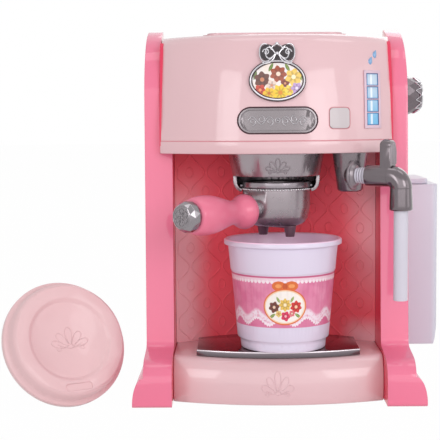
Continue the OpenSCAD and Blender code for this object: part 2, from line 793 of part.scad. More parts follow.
side_panel_left();
side_panel_right();
housing_shell();
trim_band();
top_deck();
rear_cover();
back_wall();
base_housing();
base_pan();
foot_pads();
badge_frame();
badge_insert();
name_plate();
indicator_frame();
indicator_bars();
group_head();
filter_collar();
wand_boss();
wand_collar();
wand_sleeve();
tank_bracket();
battery_box();
battery_door();
door_screw();
batteries();
battery_contacts();
circuit_board();
speaker();
lamps();
button_spring();
panel_screws();
power_switch();
steam_knob();
knob_cap();
knob_shaft();
push_button();
basket_ring();
filter_bowl();
twin_spout();
handle_ferrule();
handle_grip();
handle_cap();
wand_elbow();
wand_tube();
water_tank();
tank_lid();
drip_tray();
cup();
cup_lid();
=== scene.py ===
"""Finishes, small relief and studio for a toy coffee maker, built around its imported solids."""
from __future__ import annotations

import json
import logging
import math
from dataclasses import dataclass
from enum import Enum
from typing import Callable, Sequence, Union

import bmesh
import bpy
from mathutils import Matrix, Vector


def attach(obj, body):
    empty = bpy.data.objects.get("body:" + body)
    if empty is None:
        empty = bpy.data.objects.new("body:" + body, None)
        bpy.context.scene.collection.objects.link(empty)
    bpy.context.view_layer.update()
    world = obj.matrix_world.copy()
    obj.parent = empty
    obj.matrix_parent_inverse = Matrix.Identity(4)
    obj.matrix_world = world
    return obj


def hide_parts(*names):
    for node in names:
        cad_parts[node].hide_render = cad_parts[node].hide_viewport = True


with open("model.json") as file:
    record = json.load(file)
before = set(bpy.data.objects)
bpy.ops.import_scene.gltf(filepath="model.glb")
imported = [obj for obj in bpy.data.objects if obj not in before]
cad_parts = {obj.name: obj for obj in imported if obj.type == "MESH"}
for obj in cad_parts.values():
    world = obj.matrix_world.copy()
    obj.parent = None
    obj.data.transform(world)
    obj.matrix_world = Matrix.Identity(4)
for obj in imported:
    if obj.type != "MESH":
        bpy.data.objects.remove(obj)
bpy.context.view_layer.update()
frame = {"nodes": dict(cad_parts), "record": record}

LOG = logging.getLogger("coffee_maker")
MM = 0.001
TURN = 2 * math.pi
Colour = tuple[float, float, float]
Point = tuple[float, float, float]
Flat = tuple[float, float]
Ring = tuple[float, float, float]
Place = Callable[[float, float, float], Point]
Shape = bmesh.types.BMesh
Socket = bpy.types.NodeSocket

# Where soft clouds and fine specks of noise step from 0 to 1.
CLOUDS = (0.3, 0.7)
SPECKS = (0.35, 0.65)


def ink(red: int, green: int, blue: int) -> Colour:
    """A colour as it is seen on a screen, made linear.

    Args:
        red, green, blue: the three parts, from 0 to 255.

    Returns:
        The same colour in linear light.
    """

    def part(value: float) -> float:
        """One part of the colour in linear light."""
        share = value / 255
        return share / 12.92 if share <= 0.04045 else ((share + 0.055) / 1.055) ** 2.4

    return part(red), part(green), part(blue)


def scaled(colour: Colour, factor: float) -> Colour:
    """That colour made darker or lighter by a factor."""
    return tuple(min(1.0, part * factor) for part in colour)


class Slot(Enum):
    """The finishes that the part's record names."""

    PANEL = "pink_panel"
    SHELL = "light_pink"
    WALL = "wall_pink"
    GRIP = "grip_pink"
    SILVER = "silver_grey"
    BRIGHT = "bright_silver"
    LAVENDER = "lavender"
    TANK = "tank_clear"
    TUBE = "tube_white"
    BUTTON = "button_grey"
    LEVEL_FRAME = "indicator_white"
    LEVEL_BARS = "indicator_blue"


# ---------------------------------------------------------------- shader maths


def maths(operation: str, swapped: bool = False) -> Callable[..., "Value"]:
    """A method of Value that adds one Math node.

    Args:
        operation: the Math node's operation.
        swapped: puts the other value first, as a reflected operator needs.

    Returns:
        The method.
    """

    def method(value: "Value", *others: "Number") -> "Value":
        """Adds the Math node.

        Args:
            value: the value that the method is called on.
            others: further values or plain numbers, in order.

        Returns:
            The node's result.
        """
        ordered = (*others, value) if swapped else (value, *others)
        node = value.recipe.node("ShaderNodeMath", {"operation": operation}, dict(enumerate(ordered)))
        return Value(value.recipe, node.outputs[0])

    return method


class Value:
    """A number that changes over a surface. Expressions on it add Math nodes.

    Greater-than is 1 where it holds. The sine and cosine take radians, and angle_to gives the angle whose
    tangent is this value over the other.
    """

    def __init__(self, recipe: "Recipe", socket: Socket) -> None:
        """Wraps the output socket of a node in that recipe."""
        self.recipe = recipe
        self.socket = socket

    __add__, __radd__ = maths("ADD"), maths("ADD", swapped=True)
    __sub__, __rsub__ = maths("SUBTRACT"), maths("SUBTRACT", swapped=True)
    __mul__, __rmul__ = maths("MULTIPLY"), maths("MULTIPLY", swapped=True)
    __truediv__ = maths("DIVIDE")
    __pow__ = maths("POWER")
    __abs__ = maths("ABSOLUTE")
    __gt__ = maths("GREATER_THAN")
    most = maths("MAXIMUM")
    sine = maths("SINE")
    cosine = maths("COSINE")
    root = maths("SQRT")
    angle_to = maths("ARCTAN2")
    wrapped = maths("WRAP")

    def __neg__(self) -> "Value":
        """-self."""
        return 0.0 - self

    def folded(self, period: float) -> "Value":
        """The remainder within one period, from minus half a period to plus half."""
        return self.wrapped(period / 2, -period / 2)

    def step(self, low: float, high: float) -> "Value":
        """A soft step, which may also run downwards.

        Args:
            low: where it is 0.
            high: where it is 1.

        Returns:
            The step.
        """
        start, end = (1.0, 0.0) if low > high else (0.0, 1.0)
        sockets = {0: self, 1: min(low, high), 2: max(low, high), 3: start, 4: end}
        node = self.recipe.node("ShaderNodeMapRange", {"interpolation_type": "SMOOTHSTEP"}, sockets)
        return Value(self.recipe, node.outputs[0])


Number = Union[Value, float, int]


class Recipe:
    """One material's nodes, ending in a Principled shader."""

    bevel_samples: int = 4
    edge_bend: Flat = (0.01, 0.25)

    def __init__(self, name: str) -> None:
        """Starts an empty material.

        Args:
            name: the material's name.
        """
        self.material = bpy.data.materials.new(name)
        self.material.use_nodes = True
        self.tree = self.material.node_tree
        self.tree.nodes.clear()

    @classmethod
    def of_tree(cls, tree: bpy.types.NodeTree) -> "Recipe":
        """A recipe without a material.

        Args:
            tree: the node tree that it works in, which it empties.

        Returns:
            The recipe.
        """
        made = cls.__new__(cls)
        made.material, made.tree = None, tree
        tree.nodes.clear()
        return made

    def node(self, kind: str, settings: dict | None = None, inputs: dict | None = None) -> bpy.types.Node:
        """Adds a node.

        Args:
            kind: the node's type.
            settings: its own settings, which are set first.
            inputs: for a socket's name or number, a value, a socket or a Value that is linked to it.

        Returns:
            The node.
        """
        made = self.tree.nodes.new(kind)
        for key, value in (settings or {}).items():
            setattr(made, key, value)
        for key, value in (inputs or {}).items():
            target = made.inputs[key]
            if isinstance(value, Value):
                self.tree.links.new(value.socket, target)
            elif isinstance(value, Socket):
                self.tree.links.new(value, target)
            elif isinstance(value, tuple) and len(value) == 3 and target.type == "RGBA":
                target.default_value = (*value, 1.0)
            else:
                target.default_value = value
        return made

    def split(self, vector: Socket) -> tuple[Value, Value, Value]:
        """The three parts of a vector."""
        node = self.node("ShaderNodeSeparateXYZ", {}, {0: vector})
        return tuple(Value(self, node.outputs[at]) for at in range(3))

    def place(self) -> Socket:
        """The point on the object, in metres."""
        return self.node("ShaderNodeTexCoord").outputs["Object"]

    def axes(self, centre: Point = (0, 0, 0)) -> tuple[Value, Value, Value]:
        """The three coordinates on the object in millimetres, from a centre.

        Args:
            centre: the point in millimetres that reads as zero.

        Returns:
            The coordinates as values.
        """
        back = tuple(-part for part in centre)
        sockets = {"Vector": self.place(), "Location": back, "Scale": (1 / MM,) * 3}
        return self.split(self.node("ShaderNodeMapping", {}, sockets).outputs[0])

    def facing(self) -> tuple[Value, Value, Value]:
        """The way that the surface faces, along each axis."""
        return self.split(self.node("ShaderNodeTexCoord").outputs["Normal"])

    def noise(self, size: float, detail: float = 2.0, stretch: Point = (1, 1, 1)) -> Value:
        """Soft clouds.

        Args:
            size: the width of one cloud in millimetres.
            detail: how many finer layers.
            stretch: the pattern's scale along each axis.

        Returns:
            The clouds, about 0.5 on average.
        """
        moved = self.node("ShaderNodeMapping", {}, {"Vector": self.place(), "Scale": stretch})
        sockets = {"Vector": moved.outputs[0], "Scale": 1 / (size * MM), "Detail": detail, "Roughness": 0.5}
        return Value(self, self.node("ShaderNodeTexNoise", {}, sockets).outputs[0])

    def uneven(self, middle: Number, swing: float, size: float, detail: float = 2.0) -> Value:
        """A value that drifts about its middle, by half the swing each way, in clouds of that size."""
        return middle + (self.noise(size, detail) - 0.5) * swing

    def rays(self, *kinds: str) -> Value:
        """Where a ray is of a kind.

        Args:
            kinds: the kinds of ray, as Light Path names them.

        Returns:
            1 for a ray of any of those kinds.
        """
        path = self.node("ShaderNodeLightPath").outputs
        share = Value(self, path[f"Is {kinds[0]} Ray"])
        for kind in kinds[1:]:
            share = share.most(Value(self, path[f"Is {kind} Ray"]))
        return share

    def mix(self, share: Number, first: Socket | Colour, second: Socket | Colour) -> Socket:
        """A colour between two.

        Args:
            share: 0 for the first, 1 for the second.
            first: a colour or a socket.
            second: a colour or a socket.

        Returns:
            The colour's socket.
        """
        settings = {"data_type": "RGBA", "clamp_factor": True}
        return self.node("ShaderNodeMix", settings, {0: share, 6: first, 7: second}).outputs[2]

    def edge(self, radius: float) -> tuple[Socket, Value]:
        """Rounded edges.

        Args:
            radius: how far from an edge the rounding starts, in millimetres.

        Returns:
            The rounded normal, and a mask that is 1 on the edges.
        """
        round_off = self.node("ShaderNodeBevel", {"samples": self.bevel_samples}, {0: radius * MM}).outputs[0]
        flat = self.node("ShaderNodeNewGeometry").outputs["Normal"]
        same = self.node("ShaderNodeVectorMath", {"operation": "DOT_PRODUCT"}, {0: round_off, 1: flat})
        return round_off, (1 - Value(self, same.outputs["Value"])).step(*self.edge_bend)

    def bump(self, height: Value, depth: float, normal: Socket | None = None) -> Socket:
        """Small relief.

        Args:
            height: from 0 to 1.
            depth: the height of 1 in millimetres.
            normal: a normal to start from.

        Returns:
            The normal.
        """
        inputs = {"Strength": 1.0, "Distance": depth * MM, "Height": height}
        if normal is not None:
            inputs["Normal"] = normal
        return self.node("ShaderNodeBump", {}, inputs).outputs[0]

    def finish(self, **sockets: object) -> bpy.types.Material:
        """Ends the recipe in a Principled shader.

        Args:
            sockets: for each of its sockets, with _ for a space, a value or a link.

        Returns:
            The material.
        """
        named = {key.replace("_", " "): value for key, value in sockets.items()}
        shader = self.node("ShaderNodeBsdfPrincipled", {}, named)
        self.node("ShaderNodeOutputMaterial", {}, {0: shader.outputs[0]})
        return self.material


# ---------------------------------------------------------------- finishes
#
# In each finish a name that ends in _mm is a width in millimetres, and a pair that a soft step takes is
# where the step is 0 and where it is 1.


@dataclass(frozen=True)
class Moulded:
    """Glossy moulded plastic with a faint orange-peel skin and slightly paler edges.

    A gap colour of painted shade, deep rose as by light bounced off the pink panels, tints the faces beside
    the side panels: those that face the middle, or without gap_inward those that face outwards near the
    front.
    """

    name: str
    colour: Colour
    roughness: float = 0.34
    coat: float = 0.8
    coat_rough: float = 0.025
    gloss: float = 1.25
    drift: float = 0.015
    drift_mm: float = 60
    grain: float = 0.006
    pore_mm: float = 1.6
    fine_mm: float = 0.35
    fine_share: float = 0.35
    edge_mm: float = 0.6
    pale_edge: float = 0.2
    paleness: float = 0.35
    gap: Colour | None = None
    gap_inward: bool = True
    inward: Flat = (-0.7, -0.97)
    outward: Flat = (0.8, 0.99)
    near_front: Flat = (-14, -28)

    def tints(self, recipe: Recipe, edge: Value) -> Socket:
        """The colour with its slow drift, its paler edges and its painted shade in the gaps beside the
        panels.

        Args:
            recipe: the material's nodes.
            edge: 1 on the edges.

        Returns:
            The colour's socket.
        """
        low, high = scaled(self.colour, 1 - self.drift), scaled(self.colour, 1 + self.drift)
        slow = recipe.mix(recipe.noise(self.drift_mm, detail=1).step(*CLOUDS), low, high)
        pale = tuple(part + (1 - part) * self.paleness for part in self.colour)
        made = recipe.mix(edge * self.pale_edge, slow, pale)
        if self.gap is None:
            return made
        # Painted shade: a deep rose gap colour on the faces beside the side panels.
        x, y, _ = recipe.axes()
        sideways = recipe.facing()[0] * (x / abs(x).most(0.01))
        if self.gap_inward:
            return recipe.mix(sideways.step(*self.inward), made, self.gap)
        return recipe.mix(sideways.step(*self.outward) * y.step(*self.near_front), made, self.gap)

    def build(self) -> bpy.types.Material:
        """The material.

        Returns:
            The material.
        """
        recipe = Recipe(self.name)
        rounded, edge = recipe.edge(self.edge_mm)
        skin = recipe.noise(self.pore_mm) + recipe.noise(self.fine_mm, detail=1) * self.fine_share
        return recipe.finish(
            Base_Color=self.tints(recipe, edge),
            Roughness=recipe.uneven(self.roughness, swing=0.1, size=9, detail=3),
            Coat_Weight=self.coat,
            Coat_Roughness=self.coat_rough,
            IOR=self.gloss,
            Normal=recipe.bump(skin, self.grain, rounded),
        )


@dataclass(frozen=True)
class Silver:
    """Silver-grey plastic with fine metal flakes under its skin and, where dark_foot is set, a dark foot."""

    name: str
    colour: Colour
    roughness: float = 0.34
    metallic: float = 0.45
    coat: float = 0.25
    coat_rough: float = 0.12
    flake: float = 0.008
    flake_mm: float = 0.3
    cloud_mm: float = 14
    shade: float = 0.1
    hammered: float = 0.0
    dent_mm: float = 2.2
    edge_mm: float = 0.5
    edge_share: float = 0.3
    edge_gain: float = 1.5
    dark_foot: Flat | None = None
    foot_tone: float = 0.2

    def build(self) -> bpy.types.Material:
        """The material.

        Returns:
            The material.
        """
        recipe = Recipe(self.name)
        rounded, edge = recipe.edge(self.edge_mm)
        dark, bright = scaled(self.colour, 1 - self.shade), scaled(self.colour, 1 + self.shade)
        flakes = recipe.noise(self.flake_mm, detail=1)
        base = recipe.mix(flakes.step(*SPECKS) * 0.5 + recipe.noise(self.cloud_mm) * 0.5, dark, bright)
        base = recipe.mix(edge * self.edge_share, base, scaled(self.colour, self.edge_gain))
        if self.dark_foot:
            foot = recipe.axes()[2].step(*self.dark_foot)
            base = recipe.mix(foot, base, scaled(self.colour, self.foot_tone))
        return recipe.finish(
            Base_Color=base,
            Metallic=self.metallic,
            Roughness=recipe.uneven(self.roughness, swing=0.1, size=6, detail=3),
            Coat_Weight=self.coat,
            Coat_Roughness=self.coat_rough,
            Normal=recipe.bump(flakes + recipe.noise(self.dent_mm) * self.hammered, self.flake, rounded),
        )


@dataclass(frozen=True)
class Milky:
    """Milky see-through plastic."""

    name: str
    colour: Colour
    clear: float = 0.12
    roughness: float = 0.3
    edge_mm: float = 0.8
    edge_colour: Colour = (0.95, 0.93, 0.96)
    cloud_mm: float = 30
    cloud_tone: float = 0.96
    share: float = 0.3
    grain_mm: float = 1.5
    grain: float = 0.008

    def build(self) -> bpy.types.Material:
        """The material.

        Returns:
            The material.
        """
        recipe = Recipe(self.name)
        rounded, edge = recipe.edge(self.edge_mm)
        clouds = recipe.noise(self.cloud_mm).step(*CLOUDS) * self.share
        body = recipe.mix(clouds, self.colour, scaled(self.colour, self.cloud_tone))
        return recipe.finish(
            Base_Color=recipe.mix(edge * self.share, body, self.edge_colour),
            Roughness=recipe.uneven(self.roughness, swing=0.1, size=7),
            Transmission_Weight=self.clear,
            IOR=1.45,
            Normal=recipe.bump(recipe.noise(self.grain_mm), self.grain, rounded),
        )


@dataclass(frozen=True)
class Wall:
    """The brewing bay's inner wall, in painted shade and light: deep rose shade in the middle, and pale
    painted light towards its sides and foot.

    Sideways places are shares of the wall's half width, and heights are measured from its foot or its top.
    """

    name: str
    middle: Colour
    side: Colour
    low: float
    high: float
    half: float
    left: Flat = (-0.58, -0.93)
    left_below_top: Flat = (5, 55)
    right: Flat = (0.6, 1.0)
    right_above_foot: Flat = (10, 75)
    right_share: float = 0.8
    foot: Flat = (22, 0)
    foot_sides: Flat = (0.62, 0.85)
    cloud_mm: float = 26
    cloud_swing: float = 9

    def build(self) -> bpy.types.Material:
        """The material.

        Returns:
            The material.
        """
        recipe = Recipe(self.name)
        x, _, z = recipe.axes()
        rounded, edge = recipe.edge(radius=0.4)
        clouds = (recipe.noise(self.cloud_mm) - 0.5) * self.cloud_swing

        def sideways(value: Value, pair: Flat) -> Value:
            """A step between two shares of the half width."""
            return value.step(pair[0] * self.half, pair[1] * self.half)

        # Painted light makes the sides and foot pale, and painted shade leaves the middle deep rose.
        left = sideways(x + clouds, self.left) * z.step(*(self.high - drop for drop in self.left_below_top))
        right_up = z.step(*(self.low + rise for rise in self.right_above_foot))
        right = sideways(x + clouds, self.right) * right_up
        foot = (z + clouds).step(*(self.low + rise for rise in self.foot)) * sideways(abs(x), self.foot_sides)
        share = left.most(right * self.right_share).most(foot)
        return recipe.finish(
            Base_Color=recipe.mix(edge * 0.3, recipe.mix(share, self.middle, self.side), self.side),
            Roughness=recipe.uneven(0.45, swing=0.1, size=9, detail=3),
            IOR=1.3,
            Coat_Weight=0.1,
            Coat_Roughness=0.15,
            Normal=recipe.bump(recipe.noise(size=1.4), depth=0.008, normal=rounded),
        )


@dataclass(frozen=True)
class Steel:
    """Plated metal with fine turning marks."""

    name: str
    colour: Colour
    roughness: float = 0.28
    dark_tone: float = 0.85
    mark_mm: float = 0.5
    mark_stretch: Point = (1, 1, 6)
    mark_depth: float = 0.006

    def build(self) -> bpy.types.Material:
        """The material.

        Returns:
            The material.
        """
        recipe = Recipe(self.name)
        rounded, _ = recipe.edge(radius=0.2)
        tone = recipe.mix(recipe.noise(size=3, detail=3), scaled(self.colour, self.dark_tone), self.colour)
        marks = recipe.noise(self.mark_mm, detail=1, stretch=self.mark_stretch)
        return recipe.finish(
            Base_Color=tone,
            Metallic=1.0,
            Roughness=recipe.uneven(self.roughness, swing=0.2, size=1.2),
            Normal=recipe.bump(marks, self.mark_depth, rounded),
        )


@dataclass(frozen=True)
class TrayMetal:
    """The drip tray: a dark polished top inside a rolled edge with a painted highlight, with a darker foot.
    """

    name: str
    top: Colour
    edge: Colour
    lip: Colour
    height: float
    upper: Flat = (-0.5, -0.1)
    rolled: Flat = (-0.9, -0.6)
    side: Flat = (-3.4, -1.0)
    foot_tone: float = 0.6

    def build(self) -> bpy.types.Material:
        """The material.

        Returns:
            The material.
        """
        recipe = Recipe(self.name)
        _, _, z = recipe.axes((0, 0, self.height))
        rounded, _ = recipe.edge(radius=0.5)
        up = recipe.facing()[2].step(0.9, 0.99)
        flat_top = up * z.step(*self.upper)
        grey = recipe.mix(z.step(*self.side), scaled(self.edge, self.foot_tone), self.edge)
        # Painted highlight: the lip colour, a pale line along the rolled edge.
        lip = (1 - flat_top) * z.step(*self.rolled)
        return recipe.finish(
            Base_Color=recipe.mix(lip, recipe.mix(flat_top, grey, self.top), self.lip),
            Metallic=0.6 - up * 0.3,
            Roughness=recipe.uneven(0.2 - up * 0.06, swing=0.06, size=5),
            Coat_Weight=0.4,
            Coat_Roughness=0.08,
            Normal=recipe.bump(recipe.noise(size=0.8), depth=0.002, normal=rounded),
        )


@dataclass(frozen=True)
class LevelGlass:
    """The lit bars of the level indicator, paler towards the top, with a painted highlight streak and deeper
    rims.
    """

    name: str
    middle: Flat
    pitch: float
    half: float
    low: Colour
    high: Colour
    rim: Colour
    rise: Flat = (-2.0, 1.6)
    streak_x: float = -0.9
    streak: Flat = (1.1, 0.3)
    streak_end: float = 1.2
    highlight_share: float = 0.75
    highlight_colour: Colour = (0.92, 0.96, 1.0)
    rim_width: Flat = (0.95, 0.35)

    def build(self) -> bpy.types.Material:
        """The material.

        Returns:
            The material.
        """
        recipe = Recipe(self.name)
        x, _, z = recipe.axes((self.middle[0], 0, self.middle[1]))
        along = abs((z - self.pitch / 2).folded(self.pitch))
        body = recipe.mix(z.step(*(self.pitch * share for share in self.rise)), self.low, self.high)
        ends = along.step(self.half, self.half - self.streak_end)
        # Painted highlight: a pale streak down each bar.
        streak = abs(x - self.streak_x).step(*self.streak) * ends
        body = recipe.mix(streak * self.highlight_share, body, self.highlight_colour)
        border = abs(x).most(along).step(*(self.half - width for width in self.rim_width))
        return recipe.finish(
            Base_Color=recipe.mix(border, body, self.rim),
            Roughness=recipe.uneven(0.18, swing=0.06, size=4),
            Coat_Weight=0.8,
            Coat_Roughness=0.05,
            Normal=recipe.edge(radius=0.5)[0],
        )


class Picture:
    """Flat colours printed over each other, on coordinates in millimetres."""

    lobe: float = 0.12
    shaded: Flat = (0.2, 0.75)
    heart: Flat = (0.3, 0.22)
    leaf_edge: Flat = (1.1, 0.9)
    vein: Flat = (0.28, 0.1)

    def __init__(self, recipe: Recipe, u: Value, v: Value, ground: Socket | Colour) -> None:
        """Starts with the ground colour."""
        self.recipe, self.u, self.v, self.colour = recipe, u, v, ground

    def lay(self, mask: Value, colour: Socket | Colour) -> None:
        """Prints a colour where the mask is 1."""
        self.colour = self.recipe.mix(mask, self.colour, colour)

    def reach(self, centre: Flat, width: float, height: float) -> Value:
        """How far out in an oval: 1 on its edge."""
        across, up = (self.u - centre[0]) / width, (self.v - centre[1]) / height
        return (across * across + up * up).root()

    def blossom(self, centre: Flat, size: float, petals: int, colour: Colour, heart: Colour) -> None:
        """Prints a flower.

        Args:
            centre: its middle.
            size: its radius.
            petals: how many petals.
            colour: the petals' colour, darkened towards the middle.
            heart: the colour of the middle.
        """
        across, up = self.u - centre[0], self.v - centre[1]
        far = (across * across + up * up).root()
        lobes = (up.angle_to(across) * petals + centre[0]).cosine()
        edge = far - (lobes * self.lobe + (1 - self.lobe)) * size
        petal = self.recipe.mix((far / size + lobes * 0.25).step(*self.shaded), scaled(colour, 0.62), colour)
        self.lay(edge.step(0.25, -0.1), petal)
        self.lay(far.step(*(size * share for share in self.heart)), heart)

    def leaf(self, centre: Flat, length: float, turn: float, colour: Colour) -> None:
        """Prints a leaf.

        Args:
            centre: its middle.
            length: its length, three times its width.
            turn: its turn in degrees.
            colour: its colour.
        """
        across, up = self.u - centre[0], self.v - centre[1]
        cos, sin = math.cos(math.radians(turn)), math.sin(math.radians(turn))
        along, side = across * cos + up * sin, up * cos - across * sin
        shape = (along * along / (length / 2) ** 2 + abs(side) / (length / 6)).step(*self.leaf_edge)
        self.lay(shape, self.recipe.mix(abs(side).step(*self.vein), colour, scaled(colour, 2)))

    def bunch(self, leaves: Sequence[tuple], blossoms: Sequence[tuple]) -> None:
        """Prints a bunch of flowers.

        Args:
            leaves: what leaf() takes, for each leaf.
            blossoms: what blossom() takes, for each flower, the ones behind first.
        """
        for leaf in leaves:
            self.leaf(*leaf)
        for blossom in blossoms:
            self.blossom(*blossom)


@dataclass(frozen=True)
class Bouquet:
    """A printed bunch of flowers on a pale ground."""

    name: str
    middle: Flat
    ground: Colour
    cloud: Colour

    def build(self) -> bpy.types.Material:
        """The material.

        Returns:
            The material.
        """
        recipe = Recipe(self.name)
        x, _, z = recipe.axes((self.middle[0], 0, self.middle[1]))
        ground = recipe.mix(recipe.noise(size=12).step(*SPECKS), self.ground, self.cloud)
        picture = Picture(recipe, x, z, ground)
        picture.bunch(BADGE_LEAVES, BADGE_BLOSSOMS)
        return recipe.finish(
            Base_Color=picture.colour,
            Roughness=recipe.uneven(0.3, swing=0.05, size=5),
            Coat_Weight=0.6,
            Coat_Roughness=0.06,
            Normal=recipe.bump(recipe.noise(size=0.8), depth=0.002),
        )


@dataclass(frozen=True)
class CupPrint:
    """Pale plastic with painted light inside, and a printed band: scalloped trims, a flowered oval and a
    small bow above it.
    """

    name: str
    colour: Colour
    inside: Colour
    axis: Flat
    radius: float
    low: float
    high: float
    inside_light_rise: Flat = (40, 60)
    wall: Flat = (28.5, 30.5)
    upward: Flat = (0.3, 0.6)
    line: Flat = (1.1, 0.9)
    scallop_pitch: float = 3.0
    scallop_drop: float = 5.0
    bead_drop: float = 3.7
    bead: Flat = (1.3, 1.0)
    swag_pitch: float = 38.0
    swag_start: float = 0.4
    swag_height: float = 6.2
    swag_sag: float = 4.6
    lace_pitch: float = 1.9
    lace_height: Flat = (7.6, 4.4)
    ruffle: float = 0.45
    oval_z: float = 66.8
    oval_half: Flat = (15.6, 12.2)
    rings: Flat = (0.9, 1.7)
    bow_z: float = 80.8
    bow_loop: tuple[float, Flat] = (4.4, (4.6, 3.2))
    bow_shine: tuple[float, Flat] = (4.6, (2.2, 1.3))
    bow_knot: Flat = (1.7, 2.2)

    def build(self) -> bpy.types.Material:
        """The material.

        Returns:
            The material.
        """
        recipe = Recipe(self.name)
        x, y, z = recipe.axes((*self.axis, 0))
        rounded, _ = recipe.edge(radius=0.5)
        face_x, face_y, face_z = recipe.facing()
        outside = (x * x + y * y).root().step(*self.wall) * (1 - face_z.step(*self.upward))
        outside = outside * ((face_x * x + face_y * y) > 0.0)
        # Painted light: higher up, the cup's inner wall takes the lighter, pinker inside colour.
        plain = recipe.mix(outside, recipe.mix(z.step(*self.inside_light_rise), self.colour, self.inside), self.colour)
        picture = Picture(recipe, x.angle_to(-y) * self.radius, z, plain)
        self.band(picture)
        self.oval(picture)
        band = z.step(self.low - 0.15, self.low + 0.15) * z.step(self.high + 0.15, self.high - 0.15) * outside
        return recipe.finish(
            Base_Color=recipe.mix(band, plain, picture.colour),
            Roughness=recipe.uneven(0.36, swing=0.08, size=9, detail=3),
            Coat_Weight=0.35,
            Coat_Roughness=0.12,
            Normal=recipe.bump(recipe.noise(size=1.6), depth=0.005, normal=rounded),
        )

    def band(self, picture: Picture) -> None:
        """Prints the pink field, the scalloped strip at its top and the lace swags at its foot.

        Args:
            picture: what is printed so far.
        """
        recipe, u, z = picture.recipe, picture.u, picture.v
        clouds = recipe.noise(size=9, detail=3).step(*CLOUDS)
        picture.colour = recipe.mix(clouds, ink(222, 120, 160), ink(232, 144, 178))
        picture.lay(z.step(*(self.high - drop for drop in self.line)), ink(206, 96, 138))
        across = u.folded(self.scallop_pitch)
        scallop = abs(across) * 0.7 + self.high - self.scallop_drop
        strip = (z - scallop).step(0.1, 0.5) * z.step(self.high - 1.1, self.high - 1.4)
        picture.lay(strip, ink(246, 214, 228))
        beads_at = (across ** 2 + (z - (self.high - self.bead_drop)) ** 2).root()
        picture.lay(beads_at.step(*self.bead), ink(252, 236, 243))
        sag = (u * (TURN / self.swag_pitch) + self.swag_start).sine() ** 2
        above = z - (self.low + self.swag_height - sag * self.swag_sag)
        picture.lay(above.step(0.2, -0.2) * 0.5, ink(216, 112, 156))
        ruffled = above + (u * (TURN / self.lace_pitch)).cosine() * self.ruffle
        lace = ruffled.step(-0.2, 0.1) * above.step(*self.lace_height)
        dots = (u.folded(self.lace_pitch) ** 2 + (above - self.lace_pitch) ** 2).root().step(0.5, 0.8)
        holes = recipe.noise(size=1.6).step(0.56, 0.64) * 0.6
        picture.lay(lace * (1 - holes) * (dots * 0.35 + 0.65), ink(247, 228, 240))
        picture.lay(abs(ruffled).step(0.7, 0.35), ink(250, 238, 246))

    def oval(self, picture: Picture) -> None:
        """Prints the flowered oval with its orange line, and the bow above it.

        Args:
            picture: what is printed so far.
        """
        orange = ink(226, 110, 44)
        for side in (-1, 1):
            for (out, half), soft, colour in (
                (self.bow_loop, (1.06, 0.98), orange),
                (self.bow_shine, (1.1, 0.9), ink(244, 160, 90)),
            ):
                picture.lay(picture.reach((side * out, self.bow_z), *half).step(*soft), colour)
        knot = picture.reach((0, self.bow_z - 0.2), *self.bow_knot)
        picture.lay(knot.step(1.08, 0.95), ink(200, 84, 30))
        rings = []
        for inset in (0.0, *self.rings):
            width, height = self.oval_half
            rings.append(picture.reach((0, self.oval_z), width - inset, height - inset).step(1.015, 0.99))
        picture.lay(rings[0], orange)
        picture.lay(rings[1], ink(250, 214, 180))
        outside, picture.colour = picture.colour, ink(252, 244, 238)
        picture.bunch(CUP_LEAVES, CUP_BLOSSOMS)
        flowers, picture.colour = picture.colour, outside
        picture.lay(rings[2], flowers)


Finish = Union[Moulded, Silver, Milky, Wall, Steel, TrayMetal, LevelGlass, Bouquet, CupPrint]

# Leaves have a middle, a length, a turn and a colour; blossoms a middle, a radius, petals and two colours.
BADGE_LEAVES = (
    ((-13.6, -6.6), 9.0, 40, ink(196, 64, 36)), ((-6.4, -9.4), 9.0, -12, ink(232, 170, 40)),
    ((13.4, -6.4), 9.0, -40, ink(186, 150, 200)), ((8.6, -9.0), 9.0, 12, ink(170, 130, 190)),
    ((-4.2, 8.6), 6.5, 62, ink(96, 120, 56)), ((6.6, 8.4), 6.5, 118, ink(110, 128, 60)),
    ((-14.6, 3.5), 6.5, 74, ink(86, 104, 52)), ((15.0, 2.8), 6.5, 106, ink(120, 140, 70)),
)
BADGE_BLOSSOMS = (
    ((-10.0, 0.6), 5.4, 6, ink(104, 54, 42), ink(206, 130, 92)),
    ((-11.4, -6.2), 3.8, 5, ink(206, 62, 40), ink(240, 150, 96)),
    ((0.6, 4.2), 5.6, 7, ink(164, 74, 44), ink(250, 224, 206)),
    ((-3.8, -3.2), 3.6, 5, ink(240, 214, 200), ink(214, 140, 110)),
    ((5.0, -2.0), 3.0, 5, ink(132, 50, 30), ink(220, 150, 110)),
    ((1.8, -8.0), 5.6, 8, ink(250, 208, 34), ink(226, 140, 20)),
    ((-5.6, -8.4), 4.0, 6, ink(246, 196, 40), ink(200, 110, 20)),
    ((10.6, 2.2), 5.6, 6, ink(246, 206, 96), ink(252, 238, 200)),
    ((8.2, -6.4), 3.6, 5, ink(250, 220, 90), ink(232, 150, 60)),
    ((12.6, -5.2), 3.9, 6, ink(192, 158, 210), ink(240, 226, 246)),
)
CUP_LEAVES = (
    ((-9.4, 60.6), 6.0, 35, ink(120, 140, 70)), ((9.4, 60.8), 6.0, -35, ink(120, 140, 70)),
    ((-4.8, 71.6), 5.0, 120, ink(132, 150, 80)), ((5.0, 71.8), 5.0, 60, ink(132, 150, 80)),
)
